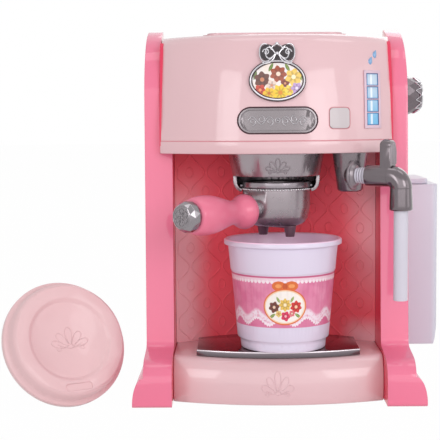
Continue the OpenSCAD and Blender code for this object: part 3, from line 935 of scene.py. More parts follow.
CUP_BLOSSOMS = (
    ((-7.8, 66.6), 3.9, 6, ink(112, 50, 38), ink(240, 206, 180)),
    ((7.9, 66.8), 4.2, 7, ink(214, 44, 40), ink(250, 206, 170)),
    ((0.0, 68.2), 4.4, 8, ink(238, 196, 90), ink(252, 236, 200)),
    ((0.4, 60.6), 3.4, 5, ink(224, 44, 92), ink(250, 180, 190)),
    ((-4.6, 62.2), 2.3, 5, ink(240, 206, 120), ink(214, 130, 60)),
    ((5.0, 62.4), 2.3, 6, ink(236, 120, 130), ink(250, 220, 190)),
)


# ---------------------------------------------------------------- shapes


def spread(low: float, high: float, count: int) -> list[float]:
    """That many even steps from low to high, with both ends."""
    return [low + (high - low) * at / (count - 1) for at in range(count)]


def meshed(name: str, shape: Shape) -> bpy.types.Mesh:
    """A mesh of that name from a shape.

    Args:
        name: its name.
        shape: the shape, which is used up.

    Returns:
        The mesh.
    """
    mesh = bpy.data.meshes.new(name)
    shape.to_mesh(mesh)
    shape.free()
    return mesh


def hung(name: str, data: bpy.types.ID) -> bpy.types.Object:
    """An object in the scene.

    Args:
        name: its name.
        data: its mesh, lamp or camera.

    Returns:
        The object.
    """
    made = bpy.data.objects.new(name, data)
    bpy.context.scene.collection.objects.link(made)
    return made


def outward(shape: Shape) -> Shape:
    """That shape with every face turned outwards."""
    bmesh.ops.recalc_face_normals(shape, faces=shape.faces)
    return shape


def merged(node: str) -> Shape:
    """A CAD node's mesh in millimetres with its loose triangles joined into faces.

    Args:
        node: the CAD node.

    Returns:
        The mesh.
    """
    shape = bmesh.new()
    shape.from_mesh(frame["nodes"][node].data)
    bmesh.ops.scale(shape, vec=(1 / MM,) * 3, verts=shape.verts)
    bmesh.ops.remove_doubles(shape, verts=shape.verts, dist=0.002)
    bmesh.ops.dissolve_limit(shape, angle_limit=math.radians(0.5), verts=shape.verts, edges=shape.edges)
    return shape


def rounded_edges(
    shape: Shape,
    width: float,
    sharp: float = 40.0,
    segments: int = 3,
    where: Callable[[Vector], bool] = lambda point: True,
) -> None:
    """Rounds a shape's sharp edges.

    Args:
        shape: the shape, changed in place.
        width: how far the rounding reaches from an edge.
        sharp: edges that bend by more than this, in degrees, are rounded.
        segments: faces across the rounding.
        where: picks the edges by both their ends.
    """
    sharp_edges = [
        edge
        for edge in shape.edges
        if len(edge.link_faces) == 2
        and edge.is_convex
        and edge.calc_face_angle(0.0) > math.radians(sharp)
        and all(where(vert.co) for vert in edge.verts)
    ]
    bmesh.ops.bevel(
        shape,
        geom=sharp_edges,
        offset=width,
        offset_type="OFFSET",
        segments=segments,
        profile=0.5,
        affect="EDGES",
        clamp_overlap=True,
        material=-1,
    )


def strands(paths: Sequence[Sequence[Point]], radius: float, closed: bool = False, sides: int = 2) -> Shape:
    """Round strands along paths.

    Args:
        paths: the points of each strand.
        radius: the strands' radius.
        closed: whether each path runs back to its start.
        sides: how fine a strand is round its middle.

    Returns:
        The strands as one shape.
    """
    curve = bpy.data.curves.new("strand", "CURVE")
    curve.dimensions = "3D"
    curve.bevel_depth = radius
    curve.bevel_resolution = sides
    curve.use_fill_caps = not closed
    for path in paths:
        spline = curve.splines.new("POLY")
        spline.points.add(len(path) - 1)
        for point, place in zip(spline.points, path):
            point.co = (*place, 1.0)
        spline.use_cyclic_u = closed
    holder = bpy.data.objects.new("strand", curve)
    shape = bmesh.new()
    shape.from_mesh(holder.to_mesh())
    holder.to_mesh_clear()
    bpy.data.objects.remove(holder)
    bpy.data.curves.remove(curve)
    bmesh.ops.remove_doubles(shape, verts=shape.verts, dist=0.0005)
    return outward(shape)


def beads(places: Sequence[Point], radius: float, fine: int = 2) -> Shape:
    """Small balls.

    Args:
        places: their middles.
        radius: their radius.
        fine: how often each is subdivided.

    Returns:
        The balls as one shape.
    """
    shape = bmesh.new()
    for place in places:
        bmesh.ops.create_icosphere(shape, subdivisions=fine, radius=radius, matrix=Matrix.Translation(place))
    return shape


def gem(rings: Sequence[Ring], count: int, turned: Matrix) -> Shape:
    """A faceted body: the hull round rings of points on an axis.

    Args:
        rings: for each ring its place on the axis, its radius and its turn in steps.
        count: points on a ring.
        turned: brings the axis, which is +Z, to its place.

    Returns:
        The body.
    """
    shape = bmesh.new()
    for along, radius, turn in rings:
        for x, y in oval((0, 0), radius, radius, count, turn / count):
            shape.verts.new(put(turned, x, y, along))
    bmesh.ops.convex_hull(shape, input=shape.verts)
    bmesh.ops.dissolve_limit(shape, angle_limit=math.radians(1), verts=shape.verts, edges=shape.edges)
    return outward(shape)


def lathe(profile: Sequence[Flat], turned: Matrix, steps: int = 48) -> Shape:
    """A turned body.

    Args:
        profile: its outline as (radius, height) points about +Z.
        turned: brings the axis to its place.
        steps: faces round the axis.

    Returns:
        The body.
    """
    shape = bmesh.new()
    points = [shape.verts.new((radius, 0, height)) for radius, height in profile]
    for first, second in zip(points, points[1:]):
        shape.edges.new((first, second))
    outline = shape.verts[:] + shape.edges[:]
    bmesh.ops.spin(shape, geom=outline, axis=(0, 0, 1), angle=TURN, steps=steps, use_merge=True)
    bmesh.ops.remove_doubles(shape, verts=shape.verts, dist=0.001)
    bmesh.ops.transform(shape, matrix=turned, verts=shape.verts)
    return outward(shape)


def joined(shapes: Sequence[Shape]) -> Shape:
    """Several shapes as one.

    Args:
        shapes: the shapes, which are used up.

    Returns:
        The whole.
    """
    whole = bmesh.new()
    for shape in shapes:
        part = meshed("part", shape)
        whole.from_mesh(part)
        bpy.data.meshes.remove(part)
    return whole


def oval(middle: Flat, width: float, height: float, count: int = 64, start: float = 0.0) -> list[Flat]:
    """Points round an oval of those half sizes, from a start that is given in turns."""
    angles = (TURN * (at / count + start) for at in range(count))
    return [(middle[0] + width * math.cos(a), middle[1] + height * math.sin(a)) for a in angles]


def dense(outline: Sequence[Flat], steps: Callable[[float], int]) -> list[Flat]:
    """A closed outline with more points.

    Args:
        outline: its corners.
        steps: how many steps a side of that length gets.

    Returns:
        The points.
    """
    points = []
    for (x0, z0), (x1, z1) in zip(outline, [*outline[1:], outline[0]]):
        count = steps(math.hypot(x1 - x0, z1 - z0))
        points += [(x0 + (x1 - x0) * at / count, z0 + (z1 - z0) * at / count) for at in range(count)]
    return points


def stadium(middle: Flat, width: float, height: float) -> list[Flat]:
    """A bar with round ends.

    Args:
        middle: its middle.
        width: its whole width.
        height: its whole height.

    Returns:
        Points round it, at most about 1.5 mm apart.
    """
    half, radius = (width - height) / 2, height / 2
    ends = []
    for side in (1, -1):
        for turn in spread(-0.25, 0.25, 25):
            x, z = radius * math.cos(TURN * turn), radius * math.sin(TURN * turn)
            ends.append((middle[0] + side * (half + x), middle[1] + side * z))
    return dense(ends, lambda length: max(1, round(length / 1.5)))


def spiral(middle: Flat, radius: float, start: float, turns: float) -> list[Flat]:
    """A scroll that winds in.

    Args:
        middle: its middle.
        radius: its outer radius.
        start: where it starts, in turns.
        turns: how far it winds; below 0 it winds clockwise.

    Returns:
        Its points.
    """
    inner_share = 0.22
    points = []
    for share in spread(0, 1, 29):
        angle = TURN * (start + turns * share)
        reach = radius * (1 - (1 - inner_share) * share)
        points.append((middle[0] + reach * math.cos(angle), middle[1] + reach * math.sin(angle)))
    return points


def bow_paths(middle: Flat, width: float, height: float) -> list[list[Flat]]:
    """The lines of a bow: two double loops and two tails.

    Args:
        middle: the knot's place.
        width: the bow's half width.
        height: the loops' half height.

    Returns:
        The lines.
    """
    knot_share, inner_loop, fullness, lift = 0.1, 0.62, 1.15, 0.12
    tail = [(0.1, -0.1), (0.22, -0.55), (0.42, -0.9), (0.66, -1.02), (0.84, -0.86)]
    lines = []
    for side in (-1, 1):
        for inset in (1.0, inner_loop):
            loop = []
            for turn in spread(0, TURN, 33):
                out = width * (knot_share + (1 - knot_share) * (1 - math.cos(turn)) / 2 * inset)
                up = height * inset * math.sin(turn) * math.sin(turn / 2) * fullness
                loop.append((middle[0] + side * out, middle[1] + up + height * lift * out / width))
            lines.append(loop)
        lines.append([(middle[0] + side * width * x, middle[1] + height * z) for x, z in tail])
    return lines


def palmette_paths(middle: Flat, width: float, height: float) -> list[list[Flat]]:
    """The lines of a palmette: five long petals that spread from a foot between two scrolls.

    Args:
        middle: the foot's place.
        width: how far it reaches sideways.
        height: how far it rises.

    Returns:
        The lines.
    """
    leans = ((0, 1.0), (-34, 0.9), (34, 0.9), (-66, 0.86), (66, 0.86))
    heart, half_length, half_width, fullness, taper = 0.56, 0.4, 0.105, 1.25, 0.5
    hook_out, hook_up, hook_radius, hook_turns = 0.52, 0.02, 0.16, 0.9
    lines = []
    for lean, length in leans:
        turn = math.radians(lean)
        petal = []
        for angle in spread(0, TURN, 25):
            along = (heart - half_length * math.cos(angle)) * length
            across = half_width * math.sin(angle) * (fullness - taper * math.cos(angle))
            x = (along * math.sin(turn) + across * math.cos(turn)) * width
            z = (along * math.cos(turn) - across * math.sin(turn)) * height
            petal.append((middle[0] + x, middle[1] + z))
        lines.append(petal)
    for side in (-1, 1):
        hook_at = (middle[0] + side * width * hook_out, middle[1] + height * hook_up)
        rise = [(0.1 * at, 0.04 * at - 0.02) for at in range(5)]
        stem = [(middle[0] + side * width * x, middle[1] + height * z) for x, z in rise]
        lines.append(stem + spiral(hook_at, width * hook_radius, 0.25, side * hook_turns))
    return lines


# ---------------------------------------------------------------- places


def on(place: Place, paths: Sequence[Sequence[Flat]], lift: float) -> list[list[Point]]:
    """Flat lines laid on a surface, at that height above it."""
    return [[place(x, z, lift) for x, z in path] for path in paths]


def put(turned: Matrix, x: float, y: float, along: float) -> Point:
    """A point that is given about an axis, as it lies in the shared frame."""
    return tuple(turned @ Vector((x, y, along)))


def axis(place: Point, turn: float, tilt: float = 90.0) -> Matrix:
    """An axis that starts at a place.

    Args:
        place: where it starts.
        turn: its turn about the upright, in degrees.
        tilt: how far it first leans over from the upright towards +X, in degrees.

    Returns:
        What brings +Z to it.
    """
    leant = Matrix.Rotation(math.radians(tilt), 4, "Y")
    return Matrix.Translation(place) @ Matrix.Rotation(math.radians(turn), 4, "Z") @ leant


def around(axis_y: float, rows: Sequence[Flat], hollow: bool = False) -> Place:
    """A surface round an upright axis that is in front of or behind the middle.

    Args:
        axis_y: where the axis stands.
        rows: (height, radius) rows, lowest first.
        hollow: whether it is seen from its inside.

    Returns:
        A call that turns x, z and a lift into a point on its front.
    """

    def place(x: float, z: float, lift: float) -> Point:
        """A point on the surface.

        Args:
            x: its place sideways.
            z: its height.
            lift: how far it stands off the surface.

        Returns:
            The point.
        """
        radius = rows[-1][1] if z >= rows[-1][0] else rows[0][1]
        for (z0, r0), (z1, r1) in zip(rows, rows[1:]):
            if z0 <= z <= z1:
                radius = r0 + (r1 - r0) * (z - z0) / (z1 - z0)
        out = math.sqrt(max(0.0, (radius - lift if hollow else radius + lift) ** 2 - x * x))
        return x, axis_y + (out if hollow else -out), z

    return place


HOUSING = around(50, (
    (166.8, 119), (175.3, 119), (187.3, 117.8), (205.3, 115.4), (221.3, 112), (232.3, 109),
    (239.8, 106.6), (244, 103.6), (246, 99.6),
))
BASE = around(126, (
    (0, 198.4), (4.5, 199.5), (11, 200), (17.5, 199.5), (23, 197.8), (27.4, 195.4), (29.7, 192.4),
))
BAY = around(-168.5, ((0, 175.5), (200, 175.5)), hollow=True)
CONE = around(-33.5, ((151.3, 29.85), (166.8, 33)))
HANDLE_AXIS = axis((0, -33.5, 128.3), 227)
ARM_AXIS = axis((44.5, -51.8, 151.8), -30)
KNOB_AXIS = axis((90, -10, 205.2), 0)
LID_AXIS = axis((-145.74, -55.2, 38.5), -59.4, 64.4)


# ---------------------------------------------------------------- workshop


class Workshop:
    """Makes, finishes and hangs pieces on the bodies of the frame."""

    def __init__(self) -> None:
        """Starts with no materials and looks up the body of each node."""
        self.materials: dict[str, bpy.types.Material] = {}
        bodies = frame["record"]["behaviour"]["bodies"]
        self.body_of = {node: body for body, nodes in bodies.items() for node in nodes}

    def paint(self, finish: Finish) -> bpy.types.Material:
        """The material of a finish, built once.

        Args:
            finish: the finish.

        Returns:
            The material.
        """
        if finish.name not in self.materials:
            self.materials[finish.name] = finish.build()
        return self.materials[finish.name]

    def dress(self, node: str, finish: Finish) -> None:
        """Puts a finish on a CAD node.

        Args:
            node: the CAD node.
            finish: its finish.
        """
        slots = frame["nodes"][node].data.materials
        material = self.paint(finish)
        if not slots:
            slots.append(material)
        for at in range(len(slots)):
            slots[at] = material
        LOG.info("dressed %s in %s", node, finish.name)

    def piece(
        self,
        name: str,
        shape: Shape,
        body: str,
        slot: Slot,
        finish: Finish,
        replaces: Sequence[str] = (),
        smooth: float = 35.0,
    ) -> None:
        """Turns a shape into a finished piece.

        Args:
            name: the piece's name.
            shape: its mesh in millimetres in the shared frame, which is used up.
            body: the CAD body that it rides on.
            slot: the record's material slot; not used.
            finish: its finish.
            replaces: the CAD nodes that it stands for.
            smooth: faces that meet below this angle, in degrees, shade as one.
        """
        bmesh.ops.scale(shape, vec=(MM,) * 3, verts=shape.verts)
        mesh = meshed(name, shape)
        for polygon in mesh.polygons:
            polygon.use_smooth = True
        mesh.set_sharp_from_angle(angle=math.radians(smooth))
        mesh.materials.append(self.paint(finish))
        made = hung(name, mesh)
        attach(made, body)
        if replaces:
            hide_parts(*replaces)
        LOG.info("built %s on %s, %d faces", name, body, len(mesh.polygons))

    def mould(self, node: str, slot: Slot, finish: Finish, round_mm: float = 0.0) -> None:
        """Stands a smooth-shaded copy with rounded edges in for a CAD node.

        Args:
            node: the CAD node.
            slot: the record's material slot.
            finish: its finish.
            round_mm: how far the rounding reaches from an edge; 0 leaves the edges.
        """
        shape = merged(node)
        if round_mm:
            rounded_edges(shape, round_mm)
        smooth = 30.0 if round_mm else 40.0
        self.piece(f"{node}_moulded", shape, self.body_of[node], slot, finish, (node,), smooth)


# ---------------------------------------------------------------- studio


@dataclass(frozen=True)
class Lamp:
    """A soft rectangular lamp: where it hangs and points, in metres, its width and height, and its power."""

    name: str
    place: Point
    target: Point
    size: Flat
    watts: float

    def hang(self) -> None:
        """Adds the lamp to the scene."""
        data = bpy.data.lights.new(self.name, "AREA")
        data.shape = "RECTANGLE"
        data.size, data.size_y = self.size
        data.energy = self.watts
        made = hung(self.name, data)
        made.location = self.place
        ahead = Vector(self.target) - Vector(self.place)
        made.rotation_euler = ahead.to_track_quat("-Z", "Y").to_euler()


@dataclass
class Studio:
    """Camera, pale floor and soft lamps: three in front, two overhead, one at the right and one behind."""

    camera_at: Point = (-27.88, -836.12, 190.92)
    yaw: float = 0.783
    pitch: float = 5.0
    roll: float = -0.502
    focal_px: float = 1170.0
    frame_px: float = 440.0
    sensor: float = 36.0
    clip: Flat = (0.05, 20)
    world_light: float = 0.5
    world_tint: Colour = (1.0, 0.985, 0.985)
    white: Colour = (1.0, 1.0, 1.0)
    floor_half: float = 8.0
    floor_paper: Colour = (0.86, 0.85, 0.85)
    floor_share: float = 0.985
    lamps: tuple[Lamp, ...] = (
        Lamp("front", (0.0, -2.5, 0.5), (0.0, 0.0, 0.2), (3.6, 1.9), 21.0),
        Lamp("side_left", (-1.2, -1.84, 0.85), (0, 0, 0.15), (0.6, 0.95), 5.8),
        Lamp("side_right", (1.25, -1.82, 0.85), (0, 0, 0.15), (0.9, 0.95), 8.6),
        Lamp("top_left", (-0.08, -0.1, 1.5), (-0.08, -0.1, 0), (0.76, 0.4), 1.4),
        Lamp("top_right", (0.78, -0.1, 1.5), (0.78, -0.1, 0), (0.66, 0.4), 1.4),
        Lamp("edge_right", (1.9, -0.7, 0.5), (0, 0, 0.12), (0.8, 1.2), 3.0),
        Lamp("rear", (0.6, 1.8, 1.3), (0, 0, 0.12), (1.4, 1.0), 5.0),
    )

    def camera(self) -> None:
        """Sets the camera at the viewing angle."""
        yaw, pitch, roll = (math.radians(a) for a in (self.yaw, self.pitch, self.roll))
        ahead = Vector((-math.sin(yaw) * math.cos(pitch), math.cos(yaw) * math.cos(pitch), -math.sin(pitch)))
        level = Vector((math.cos(yaw), math.sin(yaw), 0))
        upright = level.cross(ahead)
        right = level * math.cos(roll) + upright * math.sin(roll)
        up = upright * math.cos(roll) - level * math.sin(roll)
        data = bpy.data.cameras.new("camera")
        data.sensor_width = self.sensor
        data.lens = self.focal_px / self.frame_px * self.sensor
        data.clip_start, data.clip_end = self.clip
        made = hung("camera", data)
        turned = Matrix((right, up, -ahead)).transposed().to_4x4()
        made.matrix_world = Matrix.Translation(Vector(self.camera_at) * MM) @ turned
        bpy.context.scene.camera = made

    def world(self) -> None:
        """White to the eye and in reflections, and a plain soft light on the object."""
        world = bpy.data.worlds.new("studio")
        bpy.context.scene.world = world
        world.use_nodes = True
        recipe = Recipe.of_tree(world.node_tree)
        seen = recipe.rays("Camera", "Transmission", "Glossy")
        plain = {"Color": self.world_tint, "Strength": self.world_light}
        soft = recipe.node("ShaderNodeBackground", {}, plain)
        white = recipe.node("ShaderNodeBackground", {}, {"Color": self.white, "Strength": 1.0})
        mixed = recipe.node("ShaderNodeMixShader", {}, {0: seen, 1: soft.outputs[0], 2: white.outputs[0]})
        recipe.node("ShaderNodeOutputWorld", {}, {0: mixed.outputs[0]})

    def floor(self) -> None:
        """A pale floor that keeps a soft shadow."""
        shape = bmesh.new()
        bmesh.ops.create_grid(shape, x_segments=4, y_segments=4, size=self.floor_half)
        mesh = meshed("floor", shape)
        recipe = Recipe("floor_paper")
        seen = recipe.rays("Camera", "Glossy")
        paper = recipe.node("ShaderNodeBsdfDiffuse", {}, {"Color": self.floor_paper})
        bright = recipe.node("ShaderNodeEmission", {}, {"Color": self.white, "Strength": 1.0})
        sockets = {0: seen * self.floor_share, 1: paper.outputs[0], 2: bright.outputs[0]}
        both = recipe.node("ShaderNodeMixShader", {}, sockets)
        recipe.node("ShaderNodeOutputMaterial", {}, {0: both.outputs[0]})
        mesh.materials.append(recipe.material)
        made = hung("floor", mesh)

    def build(self) -> None:
        """Sets up the whole studio."""
        self.camera()
        self.world()
        self.floor()
        for lamp in self.lamps:
            lamp.hang()
        bpy.context.scene.view_settings.view_transform = "Standard"


# ---------------------------------------------------------------- finishes in use

# Painted shade: the gap colours of the panels and the housing, deep rose beside the side panels.
PANEL = Moulded("panel_plastic", ink(239, 121, 153), gap=ink(226, 40, 78), roughness=0.4, coat=0.9)
SHELL = Moulded("shell_plastic", ink(229, 190, 196))
HOUSING_PINK, HOUSING_GAP_SHADE = ink(229, 191, 196), ink(238, 78, 108)
HOUSING_SKIN = Moulded("housing_plastic", HOUSING_PINK, coat_rough=0.07, gap=HOUSING_GAP_SHADE, gap_inward=False)
ROSE_LINE = Moulded("rose_line", ink(222, 142, 152), roughness=0.5, coat=0.2)
# Painted shade: the deep rose of the cheek walls in the gaps beside the housing.
CHEEK_SHADE = Moulded("cheek_painted_shade", ink(226, 66, 96), roughness=0.5, coat=0.2)
GRIP = Moulded("grip_plastic", ink(234, 122, 150), roughness=0.4, coat=0.5)
# The bay wall's two colours are painted shade (deep rose middle) and painted light (pale sides and foot).
WALL = Wall("bay_wall_painted_light_shade", ink(253, 98, 114), ink(255, 190, 199), 30.5, 166.8, 71)
SILVER = Silver("silver_plastic", ink(158, 148, 153), roughness=0.26, metallic=0.85, coat=0.4)
BOWL = Silver("bowl_silver", ink(158, 148, 153), roughness=0.28, metallic=0.8, coat=0.4, dark_foot=(122, 113))
# Painted shade: darker copies of the silver for the wand's elbow and boss.
SHADED_ELBOW = Silver("elbow_silver_shaded", ink(104, 94, 99), roughness=0.2, metallic=0.8, coat=0.9)
SHADED_BOSS = Silver("boss_silver_shaded", ink(128, 118, 123), roughness=0.26, metallic=0.8, coat=0.5)
HAMMERED = Silver("hammered_silver", ink(150, 142, 148), roughness=0.26, metallic=0.7, hammered=8)
PLATE = Silver("plate_silver", ink(120, 113, 116), roughness=0.22, metallic=0.75)
DEEP_SILVER = Silver("deep_silver", ink(116, 92, 104), roughness=0.34)
BADGE_GROUND = Silver("badge_ground", ink(56, 50, 54), roughness=0.3)
KNOB = Silver("knob_silver", ink(112, 103, 108), roughness=0.2, metallic=0.7)
CAP = Silver("cap_silver", ink(142, 136, 140), roughness=0.14, metallic=0.92)
# Painted shadow: dark lines along the badge rim's edges and in the gap round the name plate.
SHADOW_LINE = Moulded("dark_line", ink(74, 44, 52), roughness=0.6, coat=0.0)
SCROLL = Silver("scroll_silver", ink(166, 161, 165), roughness=0.24, metallic=0.7)
BRIGHT = Silver("bright_plate", ink(205, 203, 206), roughness=0.16, metallic=0.97)
CHROME = Steel("chrome", ink(206, 203, 208), roughness=0.1)
# The tray's third colour is a painted highlight on its rolled edge.
TRAY = TrayMetal("tray_metal", ink(64, 20, 26), ink(124, 113, 120), ink(222, 212, 219), 34.8)
# The cup's second colour is painted light on its inner wall.
LAVENDER = CupPrint("cup_plastic", ink(226, 216, 236), ink(255, 224, 248), (3.9, -43.4), 36.0, 52.6, 87.1)
TANK = Milky("tank_plastic", ink(228, 226, 240))
TUBE = Moulded("tube_plastic", ink(214, 210, 222), roughness=0.4, coat=0.3)
BUTTON = Moulded("button_plastic", ink(206, 196, 199), roughness=0.4, coat=0.3)
LEVEL_FRAME = Moulded("level_frame_plastic", ink(220, 190, 206), roughness=0.35)
LEVEL_BLUES = ink(86, 176, 222), ink(186, 208, 228), ink(62, 130, 190)
LEVEL_BARS = LevelGlass("level_bar_plastic", (64.4, 202.4), 8.8, 4.15, *LEVEL_BLUES)
DROP = Moulded("drop_plastic", ink(132, 172, 214), roughness=0.2, coat=0.8)
PRINT = Bouquet("badge_print", (0, 214.9), ink(240, 238, 244), ink(250, 236, 226))
RELIEF = Silver("relief_silver", ink(138, 128, 134), roughness=0.3, metallic=0.4)
LID_SKIN = Moulded("lid_plastic", ink(235, 197, 200), roughness=0.42, coat=0.3)
RUBBER = Moulded("pad_rubber", ink(70, 64, 68), roughness=0.75, coat=0.0)
STEEL = Steel("plated_steel", ink(190, 190, 194))
BRASS = Steel("contact_brass", ink(214, 180, 110))
BOARD = Moulded("board_laminate", ink(40, 110, 70), roughness=0.4)
DARK = Moulded("dark_plastic", ink(60, 54, 58), roughness=0.45)
CELL = Moulded("cell_wrap", ink(96, 150, 96), roughness=0.3)
LAMP = Milky("lamp_lens", ink(235, 242, 250), clear=0.8, roughness=0.1)
BOX = Moulded("box_plastic", ink(226, 220, 224), roughness=0.45)


# ---------------------------------------------------------------- sub-assemblies


@dataclass
class Cabinet:
    """Side panels, housing, base and the bay's wall with its raised trellis."""

    panel_edge: float = 1.1
    shell_edge: float = 0.8
    cover_edge: float = 0.4
    wall_low: float = 31.5
    wall_high: float = 165.0
    cell_width: float = 11.0
    cell_height: float = 27.0
    cell_z: float = 98.0
    cells_aside: int = 6
    rows: int = 10
    rows_below: int = 4
    swing: float = 4.7
    strand: float = 0.46
    lift: float = 0.1
    reach: float = 69.5
    ring: Flat = (2.4, 3.6)
    ring_margin: float = 5.0
    seam_z: float = 175.3
    seam_half: float = 78.5
    seam_radius: float = 0.42
    seam_depth: float = 0.3
    end_edge: float = 1.4
    end_x: float = 76.0
    end_y: float = -15.0
    draw: float = 1.1
    draw_heights: Flat = (176.0, 232.0)
    draw_from: float = 72.0
    draw_over: float = 7.5
    draw_depth: float = 20.0
    draw_power: float = 0.8
    cheek_x: float = 73.5
    cheek_out: float = 79.3
    cheek_setback: float = 3.2
    cheek_heights: Flat = (172.0, 242.4)
    cheek_rear: float = 60.0

    def wave(self, at: int) -> list[Flat]:
        """One upright wave of the trellis, within the wall's reach.

        Args:
            at: its number, counted from the middle; neighbours swing against each other.

        Returns:
            Its points.
        """
        phase = 1 if at % 2 else -1
        points = []
        for z in spread(self.wall_low, self.wall_high, 90):
            swing = phase * self.swing * math.cos(TURN * (z - self.cell_z) / self.cell_height)
            points.append((at * self.cell_width + swing, z))
        return [point for point in points if abs(point[0]) < self.reach]

    def rings(self, at: int) -> list[list[Flat]]:
        """The small rings in the cells beside a wave.

        Args:
            at: the wave's number.

        Returns:
            The rings' points.
        """
        x = (at + 0.5) * self.cell_width
        low, high = self.wall_low + self.ring_margin, self.wall_high - self.ring_margin
        made = []
        for row in range(self.rows):
            z = self.cell_z + (row - self.rows_below) * self.cell_height / 2
            if (row + at) % 2 == 0 and abs(x) < self.reach - self.ring_margin and low < z < high:
                made.append(oval((x, z), *self.ring, count=20))
        return made

    def trellis(self) -> Shape:
        """The raised trellis: neighbouring waves that touch, with a small ring in each cell.

        Returns:
            The trellis.
        """
        numbers = range(-self.cells_aside, self.cells_aside + 1)
        waves = [self.wave(at) for at in numbers]
        rings = [ring for at in numbers for ring in self.rings(at)]
        lines = strands(on(BAY, waves, self.lift), self.strand)
        return joined([lines, strands(on(BAY, rings, self.lift), self.strand * 0.9, closed=True)])

    def at_ends(self, point: Vector) -> bool:
        """Whether a point is near the front of either end."""
        return abs(point.x) > self.end_x and point.y < self.end_y

    def drawn_in(self, node: str) -> Shape:
        """A shell whose two ends draw in towards the top, clear of the side panels.

        Args:
            node: the CAD node that is copied.

        Returns:
            The copy.
        """
        shape = merged(node)
        rounded_edges(shape, self.end_edge, sharp=60, segments=4, where=self.at_ends)
        low, high = self.draw_heights
        for vert in shape.verts:
            share = max(0.0, min(1.0, (vert.co.z - low) / (high - low)))
            near_end = max(0.0, (abs(vert.co.x) - self.draw_from) / self.draw_over)
            near_front = max(0.0, min(1.0, -vert.co.y / self.draw_depth))
            drawn = self.draw * share ** self.draw_power * near_end * near_front
            vert.co.x -= math.copysign(drawn, vert.co.x)
        return shape

    def cheek(self, side: int) -> Shape:
        """The narrow end wall that closes the gap between the housing and a side panel, coloured as painted
        shade.

        Args:
            side: -1 for the left, 1 for the right.

        Returns:
            The wall.
        """
        heights = spread(*self.cheek_heights, 33)
        outline = []
        for z in heights:
            outline.append((side * self.cheek_x, HOUSING(self.cheek_x, z, -self.cheek_setback)[1], z))
        outline += [(side * self.cheek_x, self.cheek_rear, z) for z in (heights[-1], heights[0])]
        shape = bmesh.new()
        face = shape.faces.new([shape.verts.new(point) for point in outline])
        grown = bmesh.ops.extrude_face_region(shape, geom=[face])["geom"]
        moved = [item for item in grown if isinstance(item, bmesh.types.BMVert)]
        bmesh.ops.translate(shape, vec=(side * (self.cheek_out - self.cheek_x), 0, 0), verts=moved)
        return outward(shape)

    def build(self, shop: Workshop) -> None:
        """Builds the sub-assembly.

        Args:
            shop: makes, finishes and hangs its pieces.
        """
        for side, name in ((-1, "left"), (1, "right")):
            shop.mould(f"side_panel_{name}", Slot.PANEL, PANEL, self.panel_edge)
            shop.piece(f"housing_cheek_{name}", self.cheek(side), "machine", Slot.PANEL, CHEEK_SHADE)
        for node, finish in (("housing_shell", HOUSING_SKIN), ("top_deck", SHELL)):
            shape = self.drawn_in(node)
            shop.piece(f"{node}_moulded", shape, "machine", Slot.SHELL, finish, (node,), smooth=30)
        shop.mould("trim_band", Slot.SHELL, HOUSING_SKIN, self.shell_edge)
        line = [(x, self.seam_z) for x in spread(-self.seam_half, self.seam_half, 61)]
        seam = strands(on(HOUSING, [line], -self.seam_depth), self.seam_radius)
        shop.piece("trim_seam", seam, "machine", Slot.SHELL, ROSE_LINE)
        shop.mould("base_housing", Slot.SHELL, HOUSING_SKIN, self.shell_edge)
        shop.mould("rear_cover", Slot.SHELL, SHELL, self.cover_edge)
        shop.mould("back_wall", Slot.WALL, WALL)
        shop.piece("bay_trellis", self.trellis(), "machine", Slot.WALL, WALL)


@dataclass
class Badge:
    """The oval badge: a polished rim round a printed bouquet, with a bow of polished wire on top."""

    middle: float = 214.9
    width: float = 17.7
    height: float = 12.7
    rim: float = 0.6
    lift: float = 2.0
    line_offsets: Flat = (-0.95, 0.85)
    line: float = 0.32
    bow_width: float = 11.6
    bow_height: float = 6.6
    knot_z: float = 232.6
    knot: float = 1.3
    wire: float = 0.5
    curl: float = 2.4
    curl_at: Flat = (7.2, 0.9)
    curl_tip: float = 0.7
    arch_rise: float = 2.4
    arch_height: float = 3.4
    top_bead: float = 6.4

    def bow(self) -> Shape:
        """The bow of polished wire, with a curl in each loop, an arch and a bead over the knot.

        Returns:
            The bow.
        """
        lines = bow_paths((0, self.knot_z), self.bow_width, self.bow_height)
        tips = []
        for side in (-1, 1):
            tip = (side * self.curl_at[0], self.knot_z + self.curl_at[1])
            lines.append(spiral(tip, self.curl, 0.25 - side * 0.25, side * 1.1))
            tips.append(HOUSING(*tip, self.lift + 0.2))
        arch = []
        for angle in spread(0, math.pi, 17):
            up = self.knot_z + self.arch_rise + self.arch_height * math.sin(angle)
            arch.append((self.bow_width * 0.34 * math.cos(angle), up))
        wire = strands(on(HOUSING, [*lines, arch], self.lift + 0.1), self.wire, sides=3)
        knots = [HOUSING(0, self.knot_z, self.lift + 0.1), HOUSING(0, self.knot_z + self.top_bead, self.lift)]
        return joined([wire, beads(knots, self.knot, fine=3), beads(tips, self.curl_tip)])

    def build(self, shop: Workshop) -> None:
        """Builds the sub-assembly.

        Args:
            shop: makes, finishes and hangs its pieces.
        """
        shop.dress("badge_frame", BADGE_GROUND)
        shop.dress("badge_insert", PRINT)
        middle = (0, self.middle)
        rim = on(HOUSING, [oval(middle, self.width, self.height)], self.lift)
        shop.piece("badge_rim", strands(rim, self.rim, closed=True, sides=3), "machine", Slot.BRIGHT, CHROME)
        # Painted shadow: dark lines just inside and outside the rim.
        rims = [oval(middle, self.width + step, self.height + step) for step in self.line_offsets]
        lines = strands(on(HOUSING, rims, self.lift - 0.2), self.line, closed=True)
        shop.piece("badge_shadow_lines", lines, "machine", Slot.BRIGHT, SHADOW_LINE)
        shop.piece("badge_bow", self.bow(), "machine", Slot.BRIGHT, CHROME)


